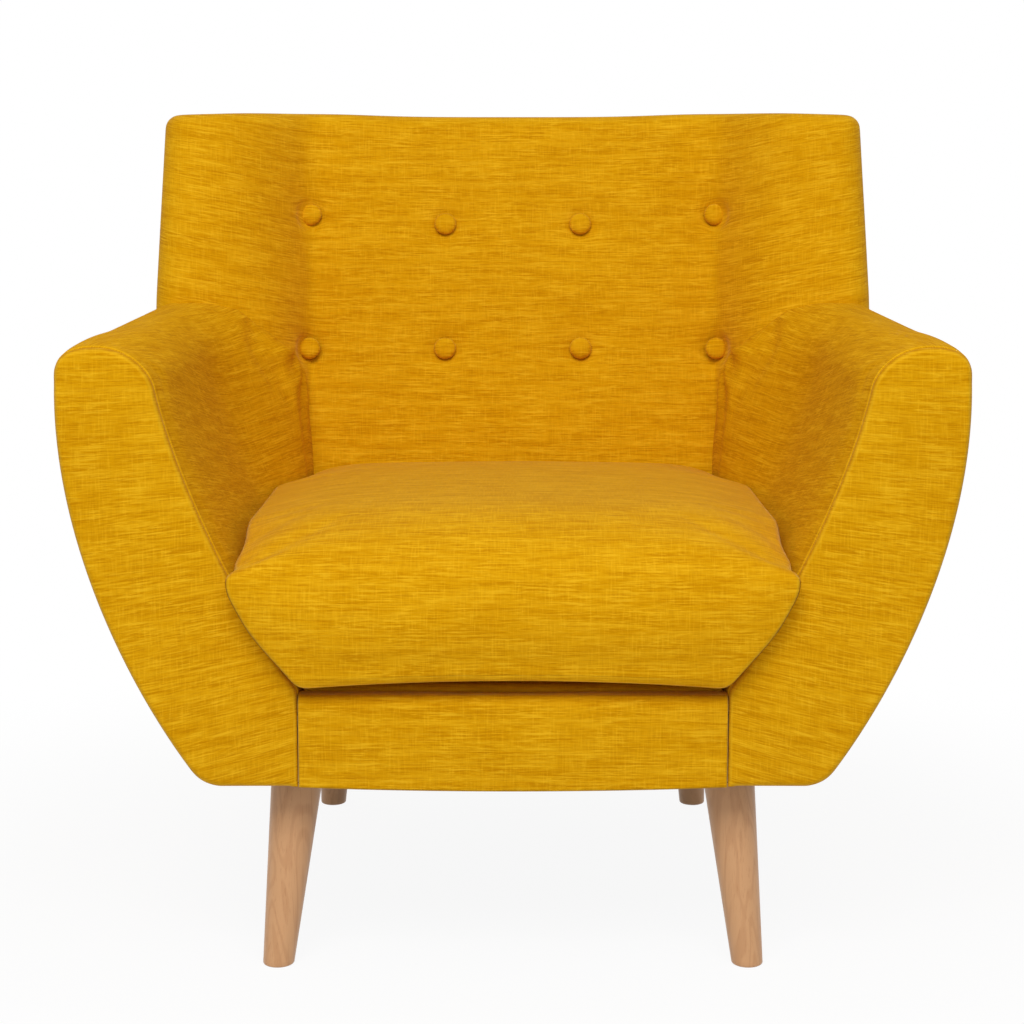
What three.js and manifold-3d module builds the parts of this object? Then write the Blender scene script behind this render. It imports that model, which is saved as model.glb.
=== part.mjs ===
// A single-seat lounge chair with flared arms, a buttoned winged back, one loose seat
// cushion and four splayed wooden legs, built on a hardwood and plywood frame.
// Millimetres, +Z up. The front faces -Y. "left" is the -X side, as seen from the front.
import * as THREE from 'three';
import { mergeVertices, toCreasedNormals } from 'three/addons/utils/BufferGeometryUtils.js';
import Module from 'manifold-3d';

const wasm = await Module();
wasm.setup();

// Overall sizes
const WIDTH = 860;
const DEPTH = 770;
const HEIGHT = 850;

// Clearances
const FIT = 0.3; // between a piece and the piece that it seats on
const CUSHION_GAP = 3; // between the loose cushion and the arms and back around it
const DECK_GAP = 1.5; // between the deck pad and the arms
const THREAD_GAP = 0.15; // round a bolt

// Legs and their fixings
const LEG_HEIGHT = 187.7;
const LEG_TOP_R = 26;
const LEG_FOOT_R = 15.3;
const FOOT_EDGE = 2; // rounding of the foot
const LEG_INSET = 44; // leg top inside the side rail
const LEG_SETBACK = 72; // front leg top behind the arm facings
const REAR_LEG_SETBACK = 37; // rear leg top ahead of the rear rail
const FRONT_SPLAY_X = 18.5;
const FRONT_SPLAY_Y = 36;
const REAR_SPLAY_X = 12;
const REAR_SPLAY_Y = 31;
const BOLT_R = 4;
const BOLT_IN_LEG = 40;
const BOLT_PROUD = 4; // above its nut
const BOLT_POINT = 5; // tapered end
const NUT_BARREL_R = 5.2;
const NUT_BARREL = 11;
const NUT_FLANGE_R = 10;
const NUT_FLANGE = 1.6;

// Seat frame
const RAIL_THICK = 22;
const RAIL_HEIGHT = 60;
const RAIL_INSET = 42; // side rail's inner face inside the arm's bottom corner
const REAR_RAIL_INSET = 38; // rear rail's front face ahead of the outside back
const BLOCK_HEIGHT = 42;
const BLOCK_MARGIN = 8; // corner block beyond the leg top
const COVER_THICK = 1;
const COVER_CUT = 2; // hole in the dust cover beyond the leg top

// Seat springs and deck
const SPRING_COUNT = 4;
const SPRING_LOOPS = 12;
const SPRING_SWING = 21; // half the width of the zigzag
const SPRING_CROWN = 8;
const SPRING_BEARING = 6; // spring end from the outer face of its rail
const WIRE_R = 2;
const DECK_THICK = 23;

// Arms, with the front section first and what changes towards the back after it
const ARM_WIDTH = 224; // from the widest line to the seat opening
const ARM_ABOVE_SEAT = 169.5; // crest at the front above the cushion
const ARM_ROLL = 92.5; // shoulder to widest line, across the rolled top
const SHOULDER_DROP = 34.5; // shoulder below the crest
const CREST_INSET = 38; // crest inside the widest line
const WIDEST_DROP = 30.5; // widest line below the crest
const ARM_TUCK = 131; // bottom corner inside the widest line
const ARM_HEM = 2; // outer cover turns under this far above the underside
const ARM_RISE = 28; // gain in crest height
const CREST_SHIFT = 28; // crest moves in
const ARM_FULLNESS = 2.5; // the crest stands up behind the facing
const FULL_SHARE = 0.4; // over this share of its run
const WIDEST_SINK = 12; // widest line drops further
const ARM_NARROWING = 5; // loss of half width
const REAR_SPREAD = 28; // seat opening widens, each side
const SWEEP_LENGTH = 224; // length over which the inside arm curves in to the back
const ARM_PAD = 18;
const ARM_SKIN = 8;
const FACING_THICK = 20;
const FACING_EDGE = 6;
const PLY = 14.7;
const PANEL_CLEAR = 10; // plywood panels stop this far above the underside
const ARM_RAIL_WIDTH = 28;
const ARM_RAIL_HEIGHT = 22;
const ARM_RAIL_INSET = 24; // inside the widest line
const ARM_RAIL_DROP = 7; // below the arm's padding

// Back
const BACK_INSET = 187; // crease of the inside back inside the chair's side
const BACK_THICK = 155.5; // inside back to outside back at the seat line
const SEAT_LINE_DROP = 5; // seat line below the cushion's top
const BACK_RAKE = 0.25; // run for each unit of rise, inside face
const REAR_LEAN = 95; // how far the outside back leans back over its height
const BACK_CROWN = 3; // fullness of the padding across the inside back
const BACK_PAD = 24;
const REAR_SKIN = 8;
const WING_INSET = 14; // wing inside the chair's side
const WING_TAPER = 6; // loss of half width from the arm to the top
const WING_REACH = 110; // how far the wing stands forward of the inside back
const WING_SLACK = 10; // loss of reach at the top
const CREASE_FADE = 6; // how much the crease fills out at the top
const WING_EDGE = 32; // radius of the wing's front edge
const TOP_ROLL = 18; // radius of the back's top edges
const UPRIGHT_INSET = 4; // upright from the side rail's inner face
const UPRIGHT_THICK = 18;
const FRAME_DROP = 16; // uprights stop below the top roll
const WING_BOARD = 9;
const WING_BOARD_LIFT = 12; // above the arm's crest
const STRAP_WIDTH = 50;
const STRAP_THICK = 1.8;
const BACK_RAIL_HEIGHT = 38;
const LOWER_RAIL_LIFT = 55; // lower back rail above the seat rails

// Seat cushion
const CUSHION_OVERHANG = 7; // cushion front ahead of the arm facings
const CUSHION_INSET = 163; // widest line inside the chair's side
const CUSHION_THICK = 156.1;
const CUSHION_CORNER = 24;

// Front border
const BORDER_HEIGHT = 94;
const BORDER_THICK = 20;
const BORDER_PROUD = 2; // border face ahead of the arm facings
const BORDER_SAG = 4;
const BORDER_EDGE = 5;

// Buttons
const BUTTON_R = 13;
const BUTTON_RISE = 9;
const BUTTON_SINK = 5; // depth of the pulled pocket
const BUTTON_EDGE = 2; // rounding of the rim
const OUTER_COLUMN_SHIFT = 1.5; // outer columns outside the creases
const LOWER_ROW_LIFT = 131; // above the cushion's top
const ROW_PITCH = 148;
const UPPER_OUTER_LIFT = 11;

// Derived sizes, from the middle outwards
const HALF = WIDTH / 2;
const SEAT_HALF = HALF - ARM_WIDTH;
const BACK_HALF = HALF - BACK_INSET;
const WING_HALF = HALF - WING_INSET;
const ARM_FOOT_X = HALF - ARM_TUCK;
const SIDE_RAIL_X = ARM_FOOT_X - RAIL_INSET;
const SIDE_RAIL_OUT = SIDE_RAIL_X + RAIL_THICK;
const LEG_X = SIDE_RAIL_X - LEG_INSET;
const UPRIGHT_X = SIDE_RAIL_X + UPRIGHT_INSET;
const UPRIGHT_OUT = UPRIGHT_X + UPRIGHT_THICK;
const CUSHION_HALF = HALF - CUSHION_INSET;
const OUTER_BUTTON_X = BACK_HALF + OUTER_COLUMN_SHIFT;
const INNER_BUTTON_X = OUTER_BUTTON_X / 3; // four columns, evenly spaced

// Derived levels
const UNDER_Z = LEG_HEIGHT + FIT; // underside of the frame
const RAIL_TOP = UNDER_Z + RAIL_HEIGHT;
const WIRE_Z = RAIL_TOP + FIT + WIRE_R;
const DECK_Z = WIRE_Z + SPRING_CROWN + WIRE_R + FIT; // underside of the deck
const DECK_TOP = DECK_Z + DECK_THICK;
const BORDER_TOP = UNDER_Z + BORDER_HEIGHT;
const CUSHION_TOP = DECK_TOP + FIT + CUSHION_THICK;
const SEAT_LINE = CUSHION_TOP - SEAT_LINE_DROP;
const LOWER_ROW_Z = CUSHION_TOP + LOWER_ROW_LIFT;
const UPPER_ROW_Z = LOWER_ROW_Z + ROW_PITCH;
const ARM_TOP = CUSHION_TOP + ARM_ABOVE_SEAT;
const CREST_REAR = ARM_TOP + ARM_RISE;
const FRAME_TOP = HEIGHT - TOP_ROLL - FRAME_DROP;

// Derived planes, from the front to the back
const FACING_Y = -DEPTH / 2 + CUSHION_OVERHANG;
const BORDER_Y = FACING_Y - BORDER_PROUD;
const FRONT_RAIL_Y = BORDER_Y + BORDER_THICK + FIT;
const SKIN_Y = FACING_Y + FACING_THICK; // front end of the arm skins
const PANEL_BACK_Y = SKIN_Y + FIT + PLY;
const REAR_RAIL_Y = outsideBack(UNDER_Z) - REAR_RAIL_INSET;
const BACK_MEET_Y = insideBack(LOWER_ROW_Z);
const ARM_SWEEP_Y = BACK_MEET_Y - SWEEP_LENGTH;

// Y of the inside back's face at a height.
function insideBack(z) {
  return outsideBack(SEAT_LINE) - BACK_THICK + (z - SEAT_LINE) * BACK_RAKE;
}

// Y of the outside back's face at a height.
function outsideBack(z) {
  return DEPTH / 2 - REAR_LEAN * (HEIGHT - z) / (HEIGHT - LEG_HEIGHT);
}

// Y of the plane on which everything under the outside back ends.
function rearPlane(z) {
  return outsideBack(z) - REAR_SKIN - FIT;
}

// ---------------------------------------------------------------- plane curves

const mix = THREE.MathUtils.lerp;
const ease = (t) => THREE.MathUtils.smoothstep(t, 0, 1);
const between = (a, b, tx, ty = tx) => [mix(a[0], b[0], tx), mix(a[1], b[1], ty)];
const QUARTER = 0.55; // handle length of a cubic quarter circle, for each unit of radius

// Points along a cubic curve, without its first point.
function curve(p0, p1, p2, p3, segments) {
  const points = [];
  for (let i = 1; i <= segments; i++) {
    const t = i / segments;
    const s = 1 - t;
    const blend = (k) =>
      s * s * s * p0[k] + 3 * s * s * t * p1[k] + 3 * s * t * t * p2[k] + t * t * t * p3[k];
    points.push([blend(0), blend(1)]);
  }
  return points;
}

// Offset an open path to the right of its direction by depth(i).
function insetPath(path, depth) {
  return path.map((p, i) => {
    const a = path[Math.max(i - 1, 0)];
    const b = path[Math.min(i + 1, path.length - 1)];
    const length = Math.hypot(b[0] - a[0], b[1] - a[1]);
    const d = depth(i) / length;
    return [p[0] + (b[1] - a[1]) * d, p[1] - (b[0] - a[0]) * d];
  });
}

// Offset a closed loop to the right of its direction, keeping its corners.
function insetLoop(loop, depth) {
  const n = loop.length;
  return loop.map((p, i) => {
    const a = loop[(i + n - 1) % n];
    const b = loop[(i + 1) % n];
    const u = new THREE.Vector2(p[0] - a[0], p[1] - a[1]).normalize();
    const v = new THREE.Vector2(b[0] - p[0], b[1] - p[1]).normalize();
    const normal = new THREE.Vector2(u.y + v.y, -u.x - v.x).normalize();
    const miter = Math.max(normal.x * u.y - normal.y * u.x, 0.5);
    return [p[0] + normal.x * depth / miter, p[1] + normal.y * depth / miter];
  });
}

// ---------------------------------------------------------------- closed bodies

// Geometry from vertices and triangles, turned outside out.
function body(vertices, triangles) {
  const geometry = new THREE.BufferGeometry();
  const volume = triangles.reduce((sum, [a, b, c]) => {
    const cross = new THREE.Vector3().crossVectors(vertices[b], vertices[c]);
    return sum + vertices[a].dot(cross);
  }, 0);
  const ordered = volume > 0 ? triangles : triangles.map(([a, b, c]) => [a, c, b]);
  geometry.setAttribute(
    'position',
    new THREE.Float32BufferAttribute(vertices.flatMap((v) => [v.x, v.y, v.z]), 3),
  );
  geometry.setIndex(ordered.flat());
  return geometry;
}

// Triangles that close a loop, from its outline in a plane.
function earCap(loop, flatten) {
  return THREE.ShapeUtils.triangulateShape(loop.map(flatten), []);
}

// Triangles that close a loop whose second half mirrors its first.
function mirrorCap(loop) {
  const triangles = [];
  const last = loop.length - 1;
  for (let i = 0; i + 1 < loop.length / 2; i++) {
    triangles.push([i, i + 1, last - i - 1], [i, last - i - 1, last - i]);
  }
  return triangles;
}

// Join equal closed loops into a body. flatten(v) gives the plane point for the two end caps;
// without it, the caps run across between the mirrored halves of the loop.
function loft(loops, flatten) {
  const n = loops[0].length;
  const triangles = [];
  for (let k = 0; k + 1 < loops.length; k++) {
    for (let i = 0; i < n; i++) {
      const a = k * n + i;
      const b = k * n + (i + 1) % n;
      triangles.push([a, b, b + n], [a, b + n, a + n]);
    }
  }
  [0, loops.length - 1].forEach((k) => {
    const cap = flatten ? earCap(loops[k], flatten) : mirrorCap(loops[k]);
    for (const [a, b, c] of cap) {
      triangles.push(k === 0 ? [k * n + c, k * n + b, k * n + a] : [k * n + a, k * n + b, k * n + c]);
    }
  });
  const along = loops.flat();
  return body(along, orient(along, triangles, n, loops.length));
}

// Make the caps agree with the sides of a loft.
function orient(vertices, triangles, n, rows) {
  const sides = 2 * n * (rows - 1);
  const edges = new Set();
  for (const [a, b, c] of triangles.slice(0, sides)) {
    edges.add(`${a},${b}`).add(`${b},${c}`).add(`${c},${a}`);
  }
  const cap = (list) => {
    const clash = list.some(([a, b, c]) =>
      edges.has(`${a},${b}`) || edges.has(`${b},${c}`) || edges.has(`${c},${a}`));
    return clash ? list.map(([a, b, c]) => [a, c, b]) : list;
  };
  const caps = triangles.slice(sides);
  const first = caps.filter((t) => t.every((v) => v < n));
  const last = caps.filter((t) => !t.every((v) => v < n));
  return [...triangles.slice(0, sides), ...cap(first), ...cap(last)];
}

// Close the space between two equal grids of points into one sheet.
function sheet(outer, inner) {
  const rows = outer.length;
  const columns = outer[0].length;
  const vertices = [...outer.flat(), ...inner.flat()];
  const back = rows * columns;
  const at = (r, c) => r * columns + c;
  const triangles = [];
  const quad = (a, b, c, d) => triangles.push([a, b, c], [a, c, d]);
  for (let r = 0; r + 1 < rows; r++) {
    for (let c = 0; c + 1 < columns; c++) {
      quad(at(r, c), at(r, c + 1), at(r + 1, c + 1), at(r + 1, c));
      quad(back + at(r, c), back + at(r + 1, c), back + at(r + 1, c + 1), back + at(r, c + 1));
    }
    quad(at(r + 1, 0), back + at(r + 1, 0), back + at(r, 0), at(r, 0));
    const e = columns - 1;
    quad(at(r, e), back + at(r, e), back + at(r + 1, e), at(r + 1, e));
  }
  for (let c = 0; c + 1 < columns; c++) {
    quad(at(0, c), back + at(0, c), back + at(0, c + 1), at(0, c + 1));
    const e = rows - 1;
    quad(at(e, c + 1), back + at(e, c + 1), back + at(e, c), at(e, c));
  }
  return body(vertices, triangles);
}

// Box between two corners.
function box(x0, x1, y0, y1, z0, z1) {
  const geometry = new THREE.BoxGeometry(x1 - x0, y1 - y0, z1 - z0);
  geometry.translate((x0 + x1) / 2, (y0 + y1) / 2, (z0 + z1) / 2);
  return geometry;
}

// Revolve a profile of [radius, height] about Z.
function turned(profile, sides) {
  return new THREE.LatheGeometry(profile.map(([r, h]) => new THREE.Vector2(r, h)), sides)
    .rotateX(Math.PI / 2);
}

// An upright round hole to cut, between two heights.
function bore(radius, from, to, sides) {
  return turned([[0, from], [radius, from], [radius, to], [0, to]], sides);
}

// A plate with an X-Z outline and a thickness in Y, its front face on front(z).
function plate(outline, front, thick) {
  const row = (dy) => outline.map(([x, z]) => new THREE.Vector3(x, front(z) + dy, z));
  return loft([row(0), row(thick)], (v) => new THREE.Vector2(v.x, v.z));
}

function mirrored(geometry) {
  const copy = mergeVertices(geometry.clone().deleteAttribute('normal'));
  copy.scale(-1, 1, 1);
  const index = Array.from(copy.index.array);
  for (let i = 0; i < index.length; i += 3) {
    [index[i + 1], index[i + 2]] = [index[i + 2], index[i + 1]];
  }
  copy.setIndex(index);
  return copy;
}

function toManifold(geometry) {
  const bare = geometry.clone();
  bare.deleteAttribute('normal');
  bare.deleteAttribute('uv');
  const welded = mergeVertices(bare, 1e-4);
  return new wasm.Manifold(new wasm.Mesh({
    numProp: 3,
    vertProperties: new Float32Array(welded.attributes.position.array),
    triVerts: new Uint32Array(welded.index.array),
  }));
}

// Cut every tool out of a body.
function cut(geometry, ...tools) {
  let solid = toManifold(geometry);
  for (const tool of tools) {
    solid = solid.subtract(toManifold(tool));
  }
  const mesh = solid.getMesh();
  const result = new THREE.BufferGeometry();
  result.setAttribute('position', new THREE.BufferAttribute(mesh.vertProperties, 3));
  result.setIndex(new THREE.BufferAttribute(mesh.triVerts, 1));
  return result;
}

// ---------------------------------------------------------------- arm

const INNER_STEPS = 8;
const ROLL_STEPS = 4;
const WIDEST = 1 + INNER_STEPS + 2 * ROLL_STEPS; // index of the arm's widest point

// Right arm section at one Y: from the inside bottom, over the top, to the outside bottom.
// Each curve's handles are fractions of the span between its ends.
function armSection(y) {
  const sweep = ease((y - ARM_SWEEP_Y) / SWEEP_LENGTH);
  const rise = THREE.MathUtils.clamp((y - FACING_Y) / (BACK_MEET_Y - FACING_Y), 0, 1);
  const foot = [SEAT_HALF + REAR_SPREAD * sweep, BORDER_TOP];
  const shoulder = between([HALF - ARM_ROLL, ARM_TOP - SHOULDER_DROP], [BACK_HALF, LOWER_ROW_Z], sweep);
  const full = ARM_FULLNESS * Math.sin(Math.PI * Math.min(rise / FULL_SHARE, 1));
  const crest = [HALF - CREST_INSET - CREST_SHIFT * rise, ARM_TOP + ARM_RISE * rise + full];
  const widest = [HALF - ARM_NARROWING * rise, crest[1] - WIDEST_DROP - WIDEST_SINK * rise];
  const outerFoot = [ARM_FOOT_X, UNDER_Z + ARM_HEM];
  const leanFoot = between(foot, shoulder, mix(0.4, 0.22, sweep), mix(0.26, 0.34, sweep));
  const leanTop = between(shoulder, foot, mix(0.15, 0.55, sweep), 0.32);
  const rollIn = between(shoulder, crest, mix(0.1, 0.34, sweep), mix(0.42, 0.25, sweep));
  const bulge = between(widest, crest, -0.05, mix(0.79, 0.55, rise));
  const sideTop = between(widest, outerFoot, -0.06, 0.39);
  const sideFoot = between(outerFoot, widest, 0.49, 0.215);
  return [
    [foot[0], DECK_Z],
    foot,
    ...curve(foot, leanFoot, leanTop, shoulder, INNER_STEPS),
    ...curve(shoulder, rollIn, between(crest, shoulder, 0.57, 0), crest, ROLL_STEPS),
    ...curve(crest, between(crest, widest, 0.55, 0), bulge, widest, ROLL_STEPS),
    ...curve(widest, sideTop, sideFoot, outerFoot, INNER_STEPS),
  ];
}

// Stations along the arm as fractions of its length, closer where it curves.
const STATIONS = [0, 0.12, 0.24, 0.36, 0.46];
for (let s = 0.5; s < 0.83; s += 0.04) {
  STATIONS.push(s);
}
STATIONS.push(0.91, 1);

// One station of the arm at an inset from its face, ending on the raked rear plane.
function armStation(s, depth) {
  const count = armSection(0).length;
  const points = [];
  for (let i = 0; i < count; i++) {
    let y = mix(SKIN_Y, DEPTH / 2, s);
    let [x, z] = insetPath(armSection(y), () => depth)[i];
    for (let pass = 0; pass < 4; pass++) {
      y = mix(SKIN_Y + FIT, rearPlane(z), s);
      [x, z] = insetPath(armSection(y), () => depth)[i];
    }
    points.push(new THREE.Vector3(x, y, z));
  }
  return points;
}

// Skin of the arm between two section points.
function armSkin(first, last, thick) {
  const rows = STATIONS.map((s) => armStation(s, 0).slice(first, last + 1));
  const inner = STATIONS.map((s) => armStation(s, thick).slice(first, last + 1));
  return [rows, inner];
}

// Inside width available at a height and a Y, from the middle to the arm.
function insideArm(z, y) {
  const section = armSection(y);
  for (let i = 1; i < WIDEST; i++) {
    const [a, b] = [section[i - 1], section[i]];
    if (z <= b[1]) {
      return mix(a[0], b[0], Math.max(0, (z - a[1]) / (b[1] - a[1])));
    }
  }
  return HALF;
}

// Everything from the arm's inner face outwards and below its top, grown by a clearance.
function armCutter(grow) {
  const far = WIDTH;
  const loops = [-0.1, ...STATIONS, 1.2].map((s) => {
    const points = armStation(s, -grow).slice(0, WIDEST + 1);
    const last = points[WIDEST];
    const start = points[0];
    return [
      new THREE.Vector3(start.x, start.y, 0),
      ...points,
      new THREE.Vector3(far, last.y, last.z),
      new THREE.Vector3(far, last.y, 0),
    ];
  });
  return loft(loops, (v) => new THREE.Vector2(v.x, v.z));
}

// Plywood outline inside the arm skins at one Y.
function armPanelOutline(y) {
  const section = armSection(y);
  const depth = (i) => (i <= WIDEST ? ARM_PAD : ARM_SKIN) + 2 * FIT;
  return insetPath(section, depth);
}

// ---------------------------------------------------------------- back

const CENTRE_STEPS = 6;
const WING_STEPS = 8;
const EDGE_STEPS = 4;
const LOW_LEVELS = 4; // up to the arm's crest
const HIGH_LEVELS = 4;
const INNER_ROLL = 3; // least edge radius inside the padding

// Right half of the back's plan at one height, middle to rear corner.
// Each curve's handles are fractions of the span between its ends.
function backPlan(z, rear) {
  const y = insideBack(z);
  const top = THREE.MathUtils.clamp((z - CREST_REAR) / (HEIGHT - CREST_REAR), 0, 1);
  const soft = ease((z - LOWER_ROW_Z) / (HEIGHT - LOWER_ROW_Z)); // the crease fades upwards
  const half = WING_HALF - WING_TAPER * top;
  const wingY = y - WING_REACH + WING_SLACK * top;
  const middle = [0, y - BACK_CROWN];
  const crease = [BACK_HALF, y - CREASE_FADE * soft];
  const edge = [half - WING_EDGE, wingY];
  const side = [half, wingY + WING_EDGE];
  const flat = between(middle, crease, 0.35, 0);
  const full = between(middle, crease, 0.75, 0.5);
  const steep = between(crease, edge, mix(0.18, 0.24, soft), mix(0.56, 0.33, soft));
  const roll = between(edge, crease, mix(0.44, 0.57, soft), 0);
  return [
    middle,
    ...curve(middle, flat, full, crease, CENTRE_STEPS),
    ...curve(crease, steep, roll, edge, WING_STEPS),
    ...curve(edge, between(edge, side, QUARTER, 0), between(side, edge, 0, QUARTER), side, EDGE_STEPS),
    [half, rear],
  ];
}

// A whole loop of the back at one height, inset all round but for its rear line.
function backLoop(z, inset, rear) {
  const half = insetPath(backPlan(z, rear), () => -inset);
  half[0][0] = 0;
  half[half.length - 1][1] = rear;
  const left = half.slice(1).reverse().map(([x, y]) => [-x, y]);
  return [...left, ...half].map(([x, y]) => new THREE.Vector3(x, y, z));
}

// The back as a solid block, pulled in by an inset and ending on rear(z).
function backBlock(inset, rear) {
  const roll = Math.max(TOP_ROLL - inset, INNER_ROLL);
  const straightTop = HEIGHT - inset - roll;
  const loops = [];
  for (let i = 0; i < LOW_LEVELS; i++) {
    const z = mix(DECK_Z + FIT, CREST_REAR, i / LOW_LEVELS);
    loops.push(backLoop(z, inset, rear(z)));
  }
  for (let i = 0; i < HIGH_LEVELS; i++) {
    const z = mix(CREST_REAR, straightTop, i / (HIGH_LEVELS - 1));
    loops.push(backLoop(z, inset, rear(z)));
  }
  for (const turn of [0.3, 0.6, 0.8, 1]) {
    const a = turn * Math.PI / 2;
    const z = straightTop + roll * Math.sin(a);
    loops.push(backLoop(z, inset + roll * (1 - Math.cos(a)), rear(z)));
  }
  return loft(loops, (v) => new THREE.Vector2(v.x, v.y));
}

// Volume behind the inside back's padding and between the uprights' outer faces.
function behindBack(half, start) {
  const wall = (z) => [
    [-half, insideBack(z) + start],
    [half, insideBack(z) + start],
    [half, DEPTH],
    [-half, DEPTH],
  ].map(([x, y]) => new THREE.Vector3(x, y, z));
  return loft([wall(0), wall(HEIGHT * 1.1)], (v) => new THREE.Vector2(v.x, v.y));
}

// ---------------------------------------------------------------- buttons

const buttonSpots = [];
for (const side of [-1, 1]) {
  const hand = side < 0 ? 'left' : 'right';
  buttonSpots.push(
    [`button_lower_outer_${hand}`, side * OUTER_BUTTON_X, LOWER_ROW_Z],
    [`button_lower_inner_${hand}`, side * INNER_BUTTON_X, LOWER_ROW_Z],
    [`button_upper_outer_${hand}`, side * OUTER_BUTTON_X, UPPER_ROW_Z + UPPER_OUTER_LIFT],
    [`button_upper_inner_${hand}`, side * INNER_BUTTON_X, UPPER_ROW_Z],
  );
}

// Put a turned shape on the inside back with its axis square to the raked face.
function onBack(geometry, x, z, sink) {
  const lean = Math.atan(BACK_RAKE);
  const placed = geometry.rotateX(Math.PI / 2 - lean);
  return placed.translate(x, insideBack(z) + sink, z);
}

const buttonProfile = [
  [0, 0],
  [BUTTON_R - BUTTON_EDGE, 0],
  [BUTTON_R, BUTTON_RISE * 0.3],
  [BUTTON_R - BUTTON_EDGE * 0.75, BUTTON_RISE * 0.65],
  [BUTTON_R * 0.5, BUTTON_RISE * 0.95],
  [0, BUTTON_RISE],
];
const pocketProfile = [
  [0, -FIT],
  [BUTTON_R + FIT, -FIT],
  [BUTTON_R + BUTTON_SINK, WING_REACH],
  [0, WING_REACH],
];
const pockets = buttonSpots.map(([, x, z]) => onBack(turned(pocketProfile, 14), x, z, BUTTON_SINK));

// ---------------------------------------------------------------- legs

const boltTop = UNDER_Z + BLOCK_HEIGHT + NUT_FLANGE + BOLT_PROUD;
const boltFoot = LEG_HEIGHT - BOLT_IN_LEG;
const boltProfile = [
  [0, boltFoot],
  [BOLT_R / 2, boltFoot],
  [BOLT_R, boltFoot + BOLT_POINT],
  [BOLT_R, boltTop - BOLT_R / 4],
  [BOLT_R * 0.75, boltTop],
  [0, boltTop],
];

// A leg turned to a taper, splayed, cut level at both ends and bored for its bolt.
function leg(topX, topY, footX, footY) {
  const ring = (radius, z, t) => {
    const points = [];
    for (let i = 0; i < 24; i++) {
      const a = i / 24 * 2 * Math.PI;
      points.push(new THREE.Vector3(
        mix(footX, topX, t) + radius * Math.cos(a),
        mix(footY, topY, t) + radius * Math.sin(a),
        z,
      ));
    }
    return points;
  };
  const blank = loft([
    ring(LEG_FOOT_R - FOOT_EDGE, 0, 0),
    ring(LEG_FOOT_R - FOOT_EDGE * 0.3, FOOT_EDGE * 0.3, 0),
    ring(LEG_FOOT_R, FOOT_EDGE, FOOT_EDGE / LEG_HEIGHT),
    ring(mix(LEG_FOOT_R, LEG_TOP_R, 0.5), LEG_HEIGHT / 2, 0.5),
    ring(LEG_TOP_R, LEG_HEIGHT, 1),
  ], (v) => new THREE.Vector2(v.x, v.y));
  const boltHole = bore(BOLT_R + THREAD_GAP, boltFoot - FIT, HEIGHT, 16);
  return cut(blank, boltHole.translate(topX, topY, 0));
}

const nutZ = UNDER_Z + BLOCK_HEIGHT + FIT;
const nutProfile = [
  [BOLT_R + THREAD_GAP, nutZ - NUT_BARREL],
  [NUT_BARREL_R, nutZ - NUT_BARREL],
  [NUT_BARREL_R, nutZ],
  [NUT_FLANGE_R, nutZ],
  [NUT_FLANGE_R, nutZ + NUT_FLANGE],
  [BOLT_R + THREAD_GAP, nutZ + NUT_FLANGE],
  [BOLT_R + THREAD_GAP, nutZ - NUT_BARREL],
];

// ---------------------------------------------------------------- springs

// One sinuous spring from rail to rail: a zigzag wire with a slight crown.
function sinuousSpring(x, front, rear) {
  const stepsPerLoop = 5;
  const points = [];
  const pitch = (rear - front) / SPRING_LOOPS;
  for (let loop = 0; loop < SPRING_LOOPS; loop++) {
    const side = loop % 2 ? -1 : 1;
    for (let i = 0; i < stepsPerLoop; i++) {
      const a = i / stepsPerLoop * Math.PI;
      const along = (loop + (1 - Math.cos(a)) / 2) / SPRING_LOOPS;
      points.push(new THREE.Vector3(
        x + side * SPRING_SWING * Math.sin(a) ** 0.7,
        front + along * SPRING_LOOPS * pitch,
        WIRE_Z + SPRING_CROWN * Math.sin(Math.PI * along),
      ));
    }
  }
  points.push(new THREE.Vector3(x, rear, WIRE_Z));
  const sides = 5;
  const up = new THREE.Vector3(0, 0, 1);
  const loops = points.map((p, k) => {
    const a = points[Math.max(k - 1, 0)];
    const b = points[Math.min(k + 1, points.length - 1)];
    const along = b.clone().sub(a).normalize();
    const across = new THREE.Vector3().crossVectors(along, up).normalize();
    const rise = new THREE.Vector3().crossVectors(across, along);
    return Array.from({ length: sides }, (_, i) => {
      const angle = i / sides * 2 * Math.PI;
      return p.clone()
        .addScaledVector(across, WIRE_R * Math.cos(angle))
        .addScaledVector(rise, WIRE_R * Math.sin(angle));
    });
  });
  return loft(loops, (v) => new THREE.Vector2(v.x, v.z));
}

// ---------------------------------------------------------------- cushion

// Plan loop of the cushion at one height, pulled in by an inset.
function cushionLoop(z, inset) {
  const front = -DEPTH / 2 + inset;
  const rear = insideBack(z) - CUSHION_GAP - inset;
  const radius = CUSHION_CORNER;
  const half = [];
  const width = (y) => Math.min(insideArm(z, y) - CUSHION_GAP, CUSHION_HALF) - inset;
  const corner = [0, 0.3, 0.6, 0.85, 1];
  for (const t of corner) {
    const a = t * Math.PI / 2;
    const y = front + radius * (1 - Math.cos(a));
    half.push([width(y) - radius * (1 - Math.sin(a)), y]);
  }
  for (let i = 1; i < 10; i++) {
    const y = mix(front + radius, rear - radius, i / 10);
    half.push([width(y), y]);
  }
  for (const t of corner.toReversed()) {
    const a = t * Math.PI / 2;
    const y = rear - radius * (1 - Math.cos(a));
    half.push([width(y) - radius * (1 - Math.sin(a)), y]);
  }
  const left = half.toReversed().map(([x, y]) => [-x, y]);
  return [...half, ...left].map(([x, y]) => new THREE.Vector3(x, y, z));
}

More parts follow.
